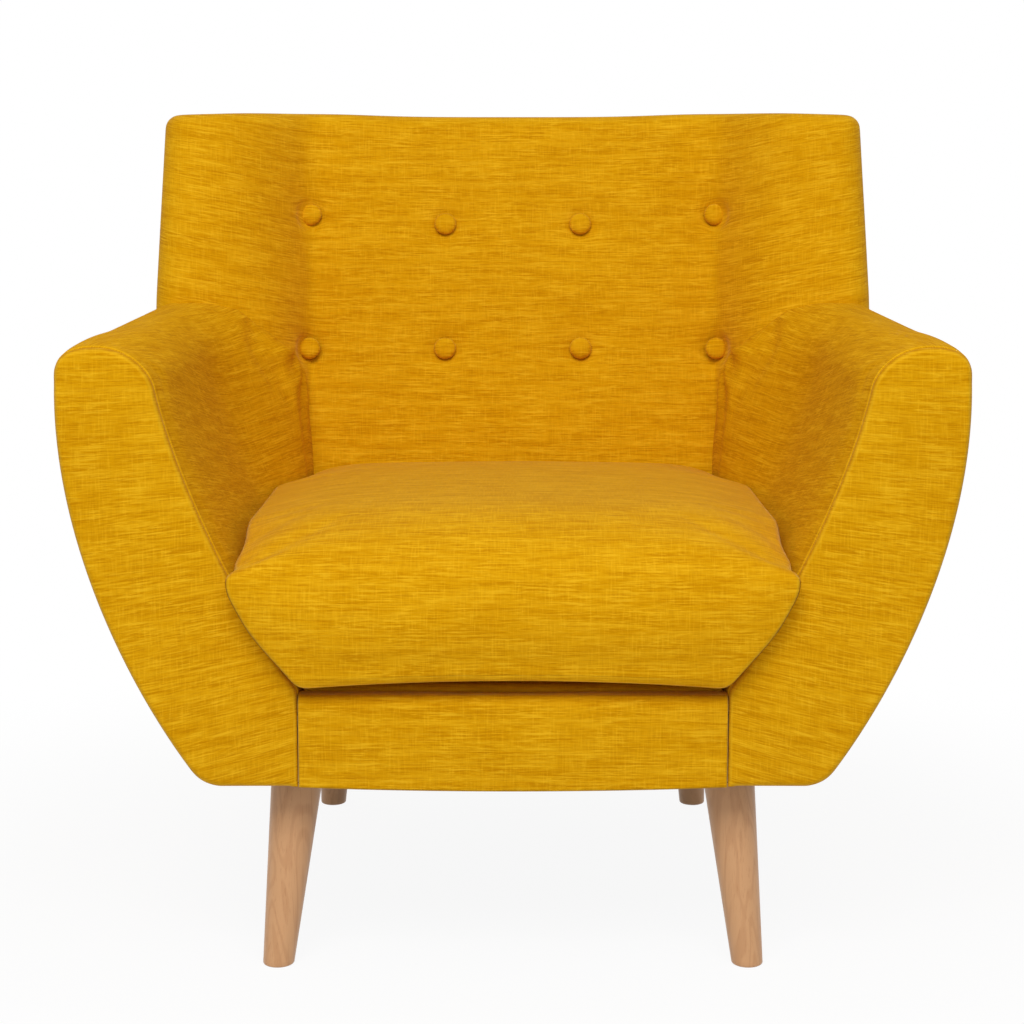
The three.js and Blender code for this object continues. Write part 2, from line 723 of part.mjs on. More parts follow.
function seatCushion() {
  const bottom = DECK_TOP + FIT;
  const levels = [
    [0, 34],
    [0.02, 12],
    [0.06, 1],
    [0.2, 0],
    [0.4, 0],
    [0.7, 0],
    [0.86, 3],
    [0.93, 12],
    [0.975, 40],
    [1, 95],
  ];
  return loft(levels.map(([t, inset]) => cushionLoop(bottom + t * CUSHION_THICK, inset)));
}

// ---------------------------------------------------------------- assembly

const fabric = { color: 0xc8960f, roughness: 0.9, metalness: 0 };
const wood = { color: 0xd9a774, roughness: 0.5, metalness: 0 };
const hardwood = { color: 0xc9a06c, roughness: 0.7, metalness: 0 };
const plywood = { color: 0xcfae7c, roughness: 0.75, metalness: 0 };
const steel = { color: 0x9a9a9c, roughness: 0.4, metalness: 0.9 };
const lining = { color: 0x1d1d1f, roughness: 0.95, metalness: 0 };
const webbing = { color: 0x2c2a26, roughness: 0.9, metalness: 0 };

const chair = new THREE.Group();
chair.name = 'armchair';

function add(name, geometry, look) {
  const shaded = toCreasedNormals(geometry, Math.PI / 6);
  const mesh = new THREE.Mesh(shaded, new THREE.MeshStandardMaterial(look));
  mesh.name = name;
  chair.add(mesh);
}

// Add a piece for the right side and its mirror image for the left.
function addPair(name, geometry, look) {
  add(`${name}_left`, mirrored(geometry), look);
  add(`${name}_right`, geometry, look);
}

// Legs and fixings
const corners = [
  ['front', LEG_X, FACING_Y + LEG_SETBACK, FRONT_SPLAY_X, -FRONT_SPLAY_Y],
  ['rear', LEG_X, REAR_RAIL_Y - REAR_LEG_SETBACK, REAR_SPLAY_X, REAR_SPLAY_Y],
];
const frontRailBack = FRONT_RAIL_Y + RAIL_THICK;
for (const [end, x, y, splayX, splayY] of corners) {
  addPair(`leg_${end}`, leg(x, y, x + splayX, y + splayY), wood);
  addPair(`hanger_bolt_${end}`, turned(boltProfile, 12).translate(x, y, 0), steel);
  addPair(`tee_nut_${end}`, turned(nutProfile, 12).translate(x, y, 0), steel);
  const reach = LEG_TOP_R + BLOCK_MARGIN;
  const blockStart = end === 'front' ? frontRailBack + FIT : y - reach;
  const blockEnd = end === 'front' ? y + reach : REAR_RAIL_Y - FIT;
  const blockTop = UNDER_Z + BLOCK_HEIGHT;
  const blank = box(x - reach, SIDE_RAIL_X - FIT, blockStart, blockEnd, UNDER_Z, blockTop);
  const nutHole = bore(NUT_BARREL_R + FIT, 0, HEIGHT, 14);
  addPair(`corner_block_${end}`, cut(blank, nutHole.translate(x, y, 0)), hardwood);
}

// Seat frame
const frontRailHalf = SEAT_HALF - 2 * FIT;
add(
  'front_rail',
  box(-frontRailHalf, frontRailHalf, FRONT_RAIL_Y, frontRailBack, UNDER_Z, RAIL_TOP),
  hardwood,
);
const sideEnd = rearPlane(UNDER_Z) - FIT;
addPair(
  'side_rail',
  box(SIDE_RAIL_X, SIDE_RAIL_OUT, PANEL_BACK_Y + FIT, sideEnd, UNDER_Z, RAIL_TOP),
  hardwood,
);
const rearHalf = SIDE_RAIL_X - FIT;
add(
  'rear_rail',
  box(-rearHalf, rearHalf, REAR_RAIL_Y, REAR_RAIL_Y + RAIL_THICK, UNDER_Z, RAIL_TOP),
  hardwood,
);

// Springs and deck
const bay = 2 * frontRailHalf / SPRING_COUNT;
for (let i = 0; i < SPRING_COUNT; i++) {
  const x = (i - (SPRING_COUNT - 1) / 2) * bay;
  const spring = sinuousSpring(x, FRONT_RAIL_Y + SPRING_BEARING, REAR_RAIL_Y + RAIL_THICK - SPRING_BEARING);
  add(`seat_spring_${i + 1}`, spring, steel);
}
const deckFront = FRONT_RAIL_Y;
const deckRear = insideBack(DECK_Z) - BACK_CROWN - FIT;
const deckSide = [[insideArm(DECK_Z, deckFront) - DECK_GAP, deckFront]];
for (let i = 0; i <= 8; i++) {
  const y = mix(ARM_SWEEP_Y, deckRear, i / 8);
  deckSide.push([insideArm(DECK_Z, y) - DECK_GAP, y]);
}
const deckOutline = [...deckSide, ...deckSide.toReversed().map(([x, y]) => [-x, y])];
add(
  'seat_deck',
  loft(
    [DECK_Z, DECK_TOP].map((z) => deckOutline.map(([x, y]) => new THREE.Vector3(x, y, z))),
  ),
  fabric,
);

// Dust cover with a hole around each leg top
const cover = box(
  -SIDE_RAIL_OUT, SIDE_RAIL_OUT,
  SKIN_Y + FIT, sideEnd,
  UNDER_Z - FIT - COVER_THICK, UNDER_Z - FIT,
);
const coverHoles = corners.flatMap(([, x, y]) =>
  [-1, 1].map((side) => bore(LEG_TOP_R + COVER_CUT, 0, HEIGHT, 16).translate(side * x, y, 0)));
add('dust_cover', cut(cover, ...coverHoles), lining);

// Arms: plywood ends and top rail, then the padded skins
const panelFootX = ARM_FOOT_X - ARM_SKIN - 3 * FIT;
const frontPanelRows = [SKIN_Y + FIT, PANEL_BACK_Y].map((y) => [
  ...armPanelOutline(y).slice(0, -1),
  [panelFootX, UNDER_Z + PANEL_CLEAR],
  [panelFootX, UNDER_Z + FIT],
  [SEAT_HALF, UNDER_Z + FIT],
  [SEAT_HALF, RAIL_TOP],
].map(([x, z]) => new THREE.Vector3(x, y, z)));
addPair('arm_front_panel', loft(frontPanelRows, (v) => new THREE.Vector2(v.x, v.z)), plywood);
const rearOutline = armPanelOutline(BACK_MEET_Y);
const rearPanelBlank = plate(
  [
    ...rearOutline.slice(0, -1),
    [panelFootX, UNDER_Z + PANEL_CLEAR],
    [SEAT_HALF, UNDER_Z + PANEL_CLEAR],
  ],
  (z) => rearPlane(z) - PLY - FIT,
  PLY,
);
const inboard = box(0, UPRIGHT_OUT + FIT, -DEPTH, DEPTH, 0, HEIGHT);
addPair('arm_rear_panel', cut(rearPanelBlank, inboard), plywood);

const armRailX = HALF - ARM_RAIL_INSET;
const armRailDrop = ARM_PAD + ARM_RAIL_DROP;
const armRailRear = CREST_REAR - armRailDrop - ARM_RAIL_HEIGHT;
const armRailEnds = [
  [armRailX, PANEL_BACK_Y + FIT, ARM_TOP - armRailDrop],
  [armRailX - CREST_SHIFT / 2, rearPlane(armRailRear) - PLY - 2 * FIT, CREST_REAR - armRailDrop],
];
addPair(
  'arm_top_rail',
  loft(
    armRailEnds.map(([x, y, z]) => [
      new THREE.Vector3(x - ARM_RAIL_WIDTH, y, z - ARM_RAIL_HEIGHT),
      new THREE.Vector3(x, y, z - ARM_RAIL_HEIGHT),
      new THREE.Vector3(x, y, z),
      new THREE.Vector3(x - ARM_RAIL_WIDTH, y, z),
    ]),
    (v) => new THREE.Vector2(v.x, v.z),
  ),
  hardwood,
);

const innerSkin = sheet(...armSkin(0, WIDEST, ARM_PAD));
addPair(
  'inside_arm',
  cut(innerSkin, behindBack(UPRIGHT_OUT + FIT, BACK_PAD), ...pockets),
  fabric,
);
const lastPoint = WIDEST + INNER_STEPS;
const [outerRows, outerBack] = armSkin(WIDEST, lastPoint, ARM_SKIN);
[outerRows, outerBack].forEach((grid) => grid.forEach((row) => {
  row[0].z -= FIT;
}));
addPair('outside_arm', sheet(outerRows, outerBack), fabric);

const facingOutline = [
  ...armSection(FACING_Y).slice(1),
  [ARM_FOOT_X - FACING_EDGE, UNDER_Z],
  [SEAT_HALF, UNDER_Z],
];
const facingRows = [
  [FACING_Y, FACING_EDGE],
  [FACING_Y + FACING_EDGE * 0.3, FACING_EDGE * 0.3],
  [FACING_Y + FACING_EDGE, 0],
  [SKIN_Y, 0],
].map(([y, inset]) => insetLoop(facingOutline, inset).map(([x, z]) => new THREE.Vector3(x, y, z)));
addPair('arm_facing', loft(facingRows, (v) => new THREE.Vector2(v.x, v.z)), fabric);

// Front border
const borderHalf = SEAT_HALF - 2 * FIT;
const borderShape = [[-borderHalf, BORDER_TOP], [borderHalf, BORDER_TOP]];
for (let i = 0; i <= 10; i++) {
  const x = mix(borderHalf, -borderHalf, i / 10);
  const sag = BORDER_SAG * (1 - (x / borderHalf) ** 2);
  borderShape.push([x, UNDER_Z - sag]);
}
const borderRows = [
  [BORDER_Y, BORDER_EDGE],
  [BORDER_Y + BORDER_EDGE * 0.3, BORDER_EDGE * 0.3],
  [BORDER_Y + BORDER_EDGE, 0],
  [BORDER_Y + BORDER_THICK, 0],
].map(([y, inset]) => insetLoop(borderShape, inset).map(([x, z]) => new THREE.Vector3(x, y, z)));
add('front_border', loft(borderRows, (v) => new THREE.Vector2(v.x, v.z)), fabric);

// Back: uprights, rails, straps and wing boards
const strapBack = BACK_PAD + STRAP_THICK + 3 * FIT; // uprights start behind the straps
const uprightSide = [RAIL_TOP + FIT, FRAME_TOP].map((z) => [
  new THREE.Vector3(UPRIGHT_X, insideBack(z) + strapBack, z),
  new THREE.Vector3(UPRIGHT_OUT, insideBack(z) + strapBack, z),
  new THREE.Vector3(UPRIGHT_OUT, rearPlane(z) - FIT, z),
  new THREE.Vector3(UPRIGHT_X, rearPlane(z) - FIT, z),
]);
addPair('back_upright', loft(uprightSide, (v) => new THREE.Vector2(v.x, v.y)), plywood);

// A rail or strap lying along the raked back between two heights.
function backBand(half, z0, z1, start, thick) {
  const outline = [[-half, z0], [half, z0], [half, z1], [-half, z1]];
  return plate(outline, (z) => insideBack(z) + start, thick);
}
const railHalf = UPRIGHT_X - FIT;
for (const [name, z] of [['top', FRAME_TOP - BACK_RAIL_HEIGHT], ['lower', RAIL_TOP + LOWER_RAIL_LIFT]]) {
  const rail = backBand(railHalf, z, z + BACK_RAIL_HEIGHT, strapBack, RAIL_THICK);
  add(`back_${name}_rail`, rail, hardwood);
}
for (const [name, t] of [['lower', 0.4], ['upper', 0.68]]) {
  const z = mix(RAIL_TOP, FRAME_TOP, t);
  const strap = backBand(UPRIGHT_OUT, z, z + STRAP_WIDTH, BACK_PAD + FIT, STRAP_THICK);
  add(`back_strap_${name}`, strap, webbing);
}

const WING_LEVELS = 4;
const wingLevels = [];
for (let i = 0; i <= WING_LEVELS; i++) {
  wingLevels.push(mix(CREST_REAR + WING_BOARD_LIFT, FRAME_TOP, i / WING_LEVELS));
}
const wingGrid = (depth) => wingLevels.map((z) => {
  const path = insetPath(backPlan(z, rearPlane(z)), () => -depth);
  const wing = path.slice(CENTRE_STEPS + 2, CENTRE_STEPS + WING_STEPS + 1);
  return wing.map(([x, y]) => new THREE.Vector3(x, y, z));
});
addPair(
  'wing_board',
  sheet(wingGrid(BACK_PAD + 2 * FIT), wingGrid(BACK_PAD + 2 * FIT + WING_BOARD)),
  plywood,
);

// Back upholstery
const openRear = (z) => rearPlane(z) + REAR_SKIN * 4;
const armTools = [armCutter(FIT), mirrored(armCutter(FIT))];
add(
  'inside_back',
  cut(
    backBlock(0, rearPlane),
    backBlock(BACK_PAD, openRear),
    box(-UPRIGHT_OUT, UPRIGHT_OUT, -DEPTH, DEPTH, 0, DECK_Z + FIT),
    ...armTools,
    ...pockets,
  ),
  fabric,
);

const rearArm = armSection(DEPTH / 2);
const rearOutside = rearArm.slice(WIDEST - 2);
const sideAt = (z) => backPlan(z, 0).at(-1)[0];
const cornerTop = [];
for (const angle of [0, 30, 60, 90]) {
  const a = THREE.MathUtils.degToRad(angle);
  const centre = [sideAt(HEIGHT) - TOP_ROLL, HEIGHT - TOP_ROLL];
  cornerTop.push([centre[0] + TOP_ROLL * Math.cos(a), centre[1] + TOP_ROLL * Math.sin(a)]);
}
const halfBack = [
  [ARM_FOOT_X - FACING_EDGE, UNDER_Z],
  ...rearOutside.toReversed(),
  [sideAt(CREST_REAR), rearOutside[0][1] + ARM_HEM],
  ...cornerTop,
];
const wholeBack = [
  ...halfBack,
  ...halfBack.toReversed().map(([x, z]) => [-x, z]),
];
add('outside_back', plate(wholeBack, (z) => outsideBack(z) - REAR_SKIN, REAR_SKIN), fabric);

// Buttons
for (const [name, x, z] of buttonSpots) {
  add(name, onBack(turned(buttonProfile, 14), x, z, BUTTON_SINK), fabric);
}

// Loose cushion
add('seat_cushion', seatCushion(), fabric);

export default chair;
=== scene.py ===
"""A single-seat lounge chair in slub cloth on splayed wooden legs.

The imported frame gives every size. The covers, the cushion, the buttons and the legs are made
here around it, each as a piece of its own, and the inner frame keeps its own solids and gets
its finishes. Lengths are in metres, with X across, Y from front to back and Z up.
"""

from __future__ import annotations

import logging
import math
from dataclasses import dataclass
from enum import Enum
from typing import Callable, Sequence

import bmesh
import bpy
import numpy as np
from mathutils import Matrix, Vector


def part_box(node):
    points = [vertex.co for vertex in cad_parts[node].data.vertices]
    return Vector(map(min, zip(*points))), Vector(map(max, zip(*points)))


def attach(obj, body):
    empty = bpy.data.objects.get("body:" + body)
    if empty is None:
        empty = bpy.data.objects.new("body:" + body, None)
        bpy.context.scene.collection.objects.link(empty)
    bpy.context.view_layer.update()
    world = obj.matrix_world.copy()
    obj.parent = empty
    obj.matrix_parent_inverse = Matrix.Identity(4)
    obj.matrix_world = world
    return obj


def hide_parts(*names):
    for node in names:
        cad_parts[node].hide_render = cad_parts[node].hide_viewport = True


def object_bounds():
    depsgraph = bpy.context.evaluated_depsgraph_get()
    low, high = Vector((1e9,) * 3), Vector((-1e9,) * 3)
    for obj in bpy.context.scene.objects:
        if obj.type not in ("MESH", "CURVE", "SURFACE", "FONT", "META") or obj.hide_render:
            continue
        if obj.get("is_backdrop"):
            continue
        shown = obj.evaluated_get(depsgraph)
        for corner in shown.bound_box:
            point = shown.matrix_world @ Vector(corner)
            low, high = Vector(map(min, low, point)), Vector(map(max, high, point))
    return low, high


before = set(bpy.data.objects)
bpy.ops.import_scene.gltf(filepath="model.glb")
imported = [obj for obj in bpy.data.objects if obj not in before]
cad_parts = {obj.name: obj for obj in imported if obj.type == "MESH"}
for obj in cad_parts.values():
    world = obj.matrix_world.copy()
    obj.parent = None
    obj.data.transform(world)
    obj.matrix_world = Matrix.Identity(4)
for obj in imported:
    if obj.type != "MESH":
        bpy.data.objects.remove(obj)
LOG = logging.getLogger("lounge_chair")
FRAME_BODY = "frame"
CUSHION_BODY = "seat_cushion"
TINY = 1e-9
NUDGE = 1e-6
HUGE = 1e9
WELD = 2e-6
SEAMLESS = 0.05
WHITE = (1.0, 1.0, 1.0, 1.0)

Array = np.ndarray
Values = Array | float
Vec3 = tuple[float, float, float]
Piece = bpy.types.Object
Material = bpy.types.Material
Node = bpy.types.Node
Socket = bpy.types.NodeSocket
Tree = bpy.types.NodeTree

# The arm's section runs over these places: foot, shoulder, crest, widest line, bottom corner. For
# each run between two of them: the first handle's share of the way across and up to the other
# end, then the second handle's, each with its value at the arm's front and at its rear.
ARM_HANDLES = (
    ((0.4, 0.22), (0.26, 0.34), (0.15, 0.55), (0.32, 0.32)),
    ((0.1, 0.34), (0.42, 0.25), (0.57, 0.57), (0.0, 0.0)),
    ((0.55, 0.55), (0.0, 0.0), (-0.05, -0.05), (0.79, 0.55)),
    ((-0.06, -0.06), (0.39, 0.39), (0.49, 0.49), (0.215, 0.215)),
)
# The same for the curve over the wing, with each value at the lower buttons and at the top.
WING_HANDLES = ((0.18, 0.24), (0.56, 0.33), (0.44, 0.57), (0.0, 0.0))
# From the inside back's middle to its crease, the shares across and up of both handles.
MIDDLE_HANDLES = ((0.35, 0.0), (0.75, 0.5))
# Shares of the way that a curve's handles take round the hem's corner, along a straight run, and
# from each end of a quarter circle.
HEM_HANDLES = (0.75, 0.6)
THIRDS = (0.33, 0.67)
QUARTER = 0.55
# A covered button from its middle to under its rim: shares of its radius and of its rise.
BUTTON_PROFILE = (
    (0.0, 1.0), (0.18, 0.995), (0.36, 0.97), (0.54, 0.92), (0.7, 0.84), (0.83, 0.72), (0.92, 0.58),
    (0.98, 0.42), (1.0, 0.28), (0.985, 0.14), (0.94, 0.02), (0.85, -0.06), (0.6, -0.1),
)


# ---- small maths


class Hand(Enum):
    """A side of the chair, as seen from the front."""

    LEFT = -1
    RIGHT = 1

    @property
    def word(self) -> str:
        """The side's name as the nodes write it."""
        return self.name.lower()

    def mirror(self, points: Array) -> Array:
        """Points made for the right side, on this side."""
        return points * np.array([self.value, 1.0, 1.0])


def ease(t: Values) -> Array:
    """Smooth step from 0 to 1."""
    t = np.clip(t, 0.0, 1.0)
    return t * t * (3.0 - 2.0 * t)


def mix(a: Values, b: Values, t: Values) -> Array:
    """Linear blend from a to b."""
    return a + (b - a) * t


def bell(gap: Values, width: Values) -> Array:
    """A bell curve: 1 in its middle, and about a third at its width."""
    return np.exp(-((gap / width) ** 2))


def fallen(gap: Values, radius: float) -> Array:
    """How far a rounded edge has fallen at a distance from its rim, as a share of its depth."""
    near = np.clip(1.0 - gap / radius, 0.0, 1.0)
    return 1.0 - np.sqrt(1.0 - near**2)


def join(*axes: Values) -> Array:
    """Coordinates as the last axis of one array."""
    return np.stack(np.broadcast_arrays(*(np.asarray(axis, float) for axis in axes)), -1)


def axes(points: Array) -> Array:
    """The coordinates of points, one array for each axis."""
    return np.moveaxis(points, -1, 0)


def unit(vectors: Array) -> Array:
    """Vectors brought to a length of 1."""
    return vectors / np.maximum(np.linalg.norm(vectors, axis=-1, keepdims=True), TINY)


def between(a: Array, b: Array, ta: Values, tb: Values | None = None) -> Array:
    """A point between two, at shares of the way along the first and the second axis."""
    return a + (b - a) * join(ta, ta if tb is None else tb)


def cubic(p0: Array, p1: Array, p2: Array, p3: Array, t: Array) -> Array:
    """Points of a cubic curve.

    Args:
        p0: Start.
        p1: First handle.
        p2: Second handle.
        p3: End.
        t: Shares of the way along, one for each point.

    Returns:
        One point for each share.
    """
    t = np.asarray(t, float)[..., None]
    s = 1.0 - t
    return s**3 * p0 + 3 * s * s * t * p1 + 3 * s * t * t * p2 + t**3 * p3


def clustered(count: int, pull: float = 0.75) -> Array:
    """Shares from 0 to 1 that crowd towards both ends, the more so with a pull near 1."""
    t = np.linspace(0.0, 1.0, count + 1)
    return (1.0 - pull) * t + pull * (0.5 - 0.5 * np.cos(np.pi * t))


def lengths_along(points: Array, axis: int) -> Array:
    """Distance travelled along one axis of a line or a grid of points."""
    steps = np.linalg.norm(np.diff(points, axis=axis), axis=-1)
    start = np.zeros_like(np.take(steps, [0], axis=axis))
    return np.concatenate([start, np.cumsum(steps, axis=axis)], axis=axis)


def resample(line: Array, shares: Array) -> Array:
    """Points at shares of a polyline's length."""
    length = lengths_along(line, 0)
    return join(*(np.interp(shares * length[-1], length, axis) for axis in line.T))


def distance_to(line: Array, points: Array) -> Array:
    """Distance of each point from a polyline in a plane.

    Args:
        line: The polyline's points, n by 2.
        points: The points, any shape ending in 2.

    Returns:
        A distance for each point.
    """
    flat = points.reshape(-1, 2)
    best = np.full(len(flat), HUGE)
    for start, end in zip(line, line[1:]):
        along = end - start
        share = np.clip(((flat - start) @ along) / max((along**2).sum(), TINY), 0.0, 1.0)
        best = np.minimum(best, np.linalg.norm(flat - start - share[:, None] * along, axis=1))
    return best.reshape(points.shape[:-1])


def inset_path(path: Array, depth: float) -> Array:
    """Move an open path in a plane by a depth to the left of its direction."""
    run = unit(np.vstack([path[1:], path[-1:]]) - np.vstack([path[:1], path[:-1]]))
    return path + depth * join(-run[:, 1], run[:, 0])


# ---- the chair's form


@dataclass(frozen=True)
class ChairForm:
    """The curves that the chair's covers share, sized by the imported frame.

    The faces and levels come from the frame's boxes. The fractions and offsets below are the
    shape of its curves.
    """

    half: float
    rear: float
    height: float
    under: float
    leg_height: float
    facing_y: float
    seat_half: float
    border_top: float
    deck_z: float
    arm_top: float
    lower_row: float
    arm_roll: float = 0.0925
    shoulder_drop: float = 0.0345
    crest_inset: float = 0.038
    crest_shift: float = 0.028
    widest_drop: float = 0.0305
    widest_sink: float = 0.012
    arm_narrowing: float = 0.005
    arm_tuck: float = 0.131
    arm_rise: float = 0.028
    arm_fullness: float = 0.0025
    full_share: float = 0.4
    rear_spread: float = 0.028
    sweep_length: float = 0.280
    sweep_power: float = 1.5
    back_inset: float = 0.187
    back_thick: float = 0.1555
    seat_line: float = 0.435
    rake: float = 0.25
    rear_lean: float = 0.095
    back_crown: float = 0.003
    rear_skin: float = 0.008
    wing_inset: float = 0.014
    wing_taper: float = 0.006
    wing_reach: float = 0.110
    wing_slack: float = 0.010
    wing_edge: float = 0.032
    crease_fade: float = 0.006
    top_roll: float = 0.015
    top_swell: float = 0.0035
    top_swell_at: tuple[float, float] = (0.235, 0.085)
    top_sink: float = 0.001
    corner_drop: float = 0.0015
    corner_at: tuple[float, float] = (0.31, 0.1)
    top_from: tuple[float, float] = (0.14, 0.12)
    hem_start: float = 0.95
    hem_turn: float = 0.018
    hem_lift: tuple[float, float] = (0.002, 0.0003)

    @classmethod
    def from_frame(cls) -> "ChairForm":
        """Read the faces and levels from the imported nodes' boxes."""
        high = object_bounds()[1]
        facing_low, facing_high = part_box("arm_facing_right")
        button_low, button_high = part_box("button_lower_inner_right")
        return cls(
            half=high.x,
            rear=high.y,
            height=high.z,
            under=facing_low.z,
            leg_height=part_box("leg_front_right")[1].z,
            facing_y=facing_low.y,
            seat_half=facing_low.x,
            border_top=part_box("front_border")[1].z,
            deck_z=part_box("seat_deck")[0].z,
            arm_top=facing_high.z,
            lower_row=(button_low.z + button_high.z) / 2,
        )

    @property
    def meet_y(self) -> float:
        """Where the inside arm meets the inside back."""
        return float(self.inside_back(self.lower_row))

    @property
    def foot_x(self) -> float:
        """The arm's bottom corner."""
        return self.half - self.arm_tuck

    @property
    def back_half(self) -> float:
        """Half the width between the creases of the inside back."""
        return self.half - self.back_inset

    @property
    def crest_rear(self) -> float:
        """The arm's crest where it meets the back."""
        return self.arm_top + self.arm_rise

    def outside_back(self, z: Values) -> Array:
        """Y of the outside back's face at a height."""
        return self.rear - self.rear_lean * (self.height - z) / (self.height - self.leg_height)

    def inside_back(self, z: Values) -> Array:
        """Y of the inside back's face at a height."""
        start = self.outside_back(self.seat_line) - self.back_thick
        return start + (z - self.seat_line) * self.rake

    def rear_plane(self, z: Values) -> Array:
        """Y at which the covers end under the outside back."""
        return self.outside_back(z) - self.rear_skin

    def top_wave(self, x: Array, z: Array) -> Array:
        """How much the back's top edge rises over its padding and drops at its corners."""
        across = np.abs(x)
        at, width = self.top_swell_at
        wave = self.top_swell * bell(across - at, width) - self.top_sink
        wave = wave - self.corner_drop * ease((across - self.corner_at[0]) / self.corner_at[1])
        return wave * ease((z - (self.height - self.top_from[0])) / self.top_from[1])

    def arm_point(self, y: Values, run: Array | int, t: Array) -> Array:
        """Points of the right arm's section.

        Args:
            y: Where along the arm.
            run: 0 below the foot, 1 foot to shoulder, 2 shoulder to crest, 3 crest to the widest
                line, 4 widest line to the bottom corner, 5 round that corner.
            t: Share of the way along the run.

        Returns:
            X and Z as the last axis.
        """
        y, run, t = np.broadcast_arrays(y, run, t)
        sweep = ease((y - (self.meet_y - self.sweep_length)) / self.sweep_length) ** self.sweep_power
        rise = np.clip((y - self.facing_y) / (self.meet_y - self.facing_y), 0.0, 1.0)
        foot = join(self.seat_half + self.rear_spread * sweep, self.border_top)
        front_shoulder = join(self.half - self.arm_roll, self.arm_top - self.shoulder_drop)
        shoulder = between(front_shoulder, join(self.back_half, self.lower_row), sweep)
        full = self.arm_fullness * np.sin(math.pi * np.minimum(rise / self.full_share, 1.0))
        crest_z = self.arm_top + self.arm_rise * rise + full
        crest = join(self.half - self.crest_inset - self.crest_shift * rise, crest_z)
        widest_z = crest_z - self.widest_drop - self.widest_sink * rise
        widest = join(self.half - self.arm_narrowing * rise, widest_z)
        corner = join(self.foot_x, self.under + self.hem_lift[0])
        start = join(foot[..., 0], self.deck_z)
        runs = [(start, *(between(start, foot, share) for share in THIRDS), foot)]
        places = (foot, shoulder, crest, widest, corner)
        for a, b, handles, blend in zip(places, places[1:], ARM_HANDLES, (sweep, sweep, rise, rise)):
            lead_x, lead_z, trail_x, trail_z = (mix(*ends, blend) for ends in handles)
            runs.append((a, between(a, b, lead_x, lead_z), between(b, a, trail_x, trail_z), b))
        turn = cubic(*runs[4], np.full(y.shape, self.hem_start))
        hem = join(self.foot_x - self.hem_turn, self.under + self.hem_lift[1])
        leave, arrive = HEM_HANDLES
        runs.append((turn, between(turn, corner, leave), between(hem, corner, arrive), hem))
        found = np.zeros((*y.shape, 2))
        for number, controls in enumerate(runs):
            found = np.where((run == number)[..., None], cubic(*controls, t), found)
        return found

    def back_plan(self, z: float, counts: Sequence[int]) -> Array:
        """Right half of the back's plan at a height, from the middle to the rear corner.

        Args:
            z: The height.
            counts: Steps across the middle, over the wing, round its edge and down its side.

        Returns:
            X and Y of each point.
        """
        y = float(self.inside_back(z))
        top = float(np.clip((z - self.crest_rear) / (self.height - self.crest_rear), 0, 1))
        soft = float(ease((z - self.lower_row) / (self.height - self.lower_row)))
        half = self.half - self.wing_inset - self.wing_taper * top
        wing_y = y - self.wing_reach + self.wing_slack * top
        middle = join(0.0, y - self.back_crown)
        crease = join(self.back_half, y - self.crease_fade * soft)
        edge = join(half - self.wing_edge, wing_y)
        side = join(half, wing_y + self.wing_edge)
        steep_x, steep_y, roll_x, roll_y = (mix(*ends, soft) for ends in WING_HANDLES)
        steep, roll = between(crease, edge, steep_x, steep_y), between(edge, crease, roll_x, roll_y)
        flat, full = (between(middle, crease, *shares) for shares in MIDDLE_HANDLES)
        turn, settle_in = between(edge, side, QUARTER, 0), between(side, edge, 0, QUARTER)
        steps = [np.linspace(0, 1, n + 1)[1:] for n in counts]
        rear = join(half, float(self.rear_plane(z)))
        return np.vstack([
            middle[None],
            cubic(middle, flat, full, crease, steps[0]),
            cubic(crease, steep, roll, edge, steps[1]),
            cubic(edge, turn, settle_in, side, steps[2]),
            side + (rear - side) * steps[3][:, None],
        ])


class ArmLimit:
    """Looks up how far out the inside of the arm is at a Y and a height."""

    def __init__(self, form: ChairForm, columns: int = 72, levels: int = 90) -> None:
        """Sample the arm's inner face once.

        Args:
            form: The chair's form.
            columns: Samples along the arm.
            levels: Samples up the arm.
        """
        self.ys = np.linspace(form.facing_y, form.rear, columns)
        self.zs = np.linspace(form.deck_z, form.crest_rear, levels)
        parts = ((4, False), (40, False), (24, True))
        run = np.concatenate([np.full(n, number) for number, (n, _) in enumerate(parts)])
        t = np.concatenate([np.linspace(0, 1, n, endpoint=whole) for n, whole in parts])
        sections = (form.arm_point(y, run, t).T for y in self.ys)
        self.table = np.array([np.interp(self.zs, z, x) for x, z in sections])

    def __call__(self, y: Array, z: Array) -> Array:
        """Half the width between the arms at a Y and a height."""
        fy, fz = (
            np.clip((at - line[0]) / (line[1] - line[0]), 0, len(line) - 1.001)
            for at, line in ((y, self.ys), (z, self.zs))
        )
        iy, iz = fy.astype(int), fz.astype(int)
        low, high = (mix(self.table[i, iz], self.table[i, iz + 1], fz - iz) for i in (iy, iy + 1))
        return mix(low, high, fy - iy)


# ---- cloth meshes


def add_object(name: str, data: bpy.types.ID) -> Piece:
    """Put new data into the scene as an object."""
    made = bpy.data.objects.new(name, data)
    bpy.context.scene.collection.objects.link(made)
    return made


def points_of(mesh: bpy.types.Mesh) -> Array:
    """All of a mesh's points."""
    found = np.empty(len(mesh.vertices) * 3)
    mesh.vertices.foreach_get("co", found)
    return found.reshape(-1, 3)


def move_points(piece: Piece, points: Array) -> None:
    """Write a piece's points."""
    piece.data.vertices.foreach_set("co", points.astype(np.float32).reshape(-1))
    piece.data.update()


def round_off(piece: Piece) -> Piece:
    """Round a cloth mesh with one subdivision."""
    modifier = piece.modifiers.new("round", "SUBSURF")
    modifier.levels = 1
    modifier.render_levels = 1
    modifier.boundary_smooth = "PRESERVE_CORNERS"
    return piece


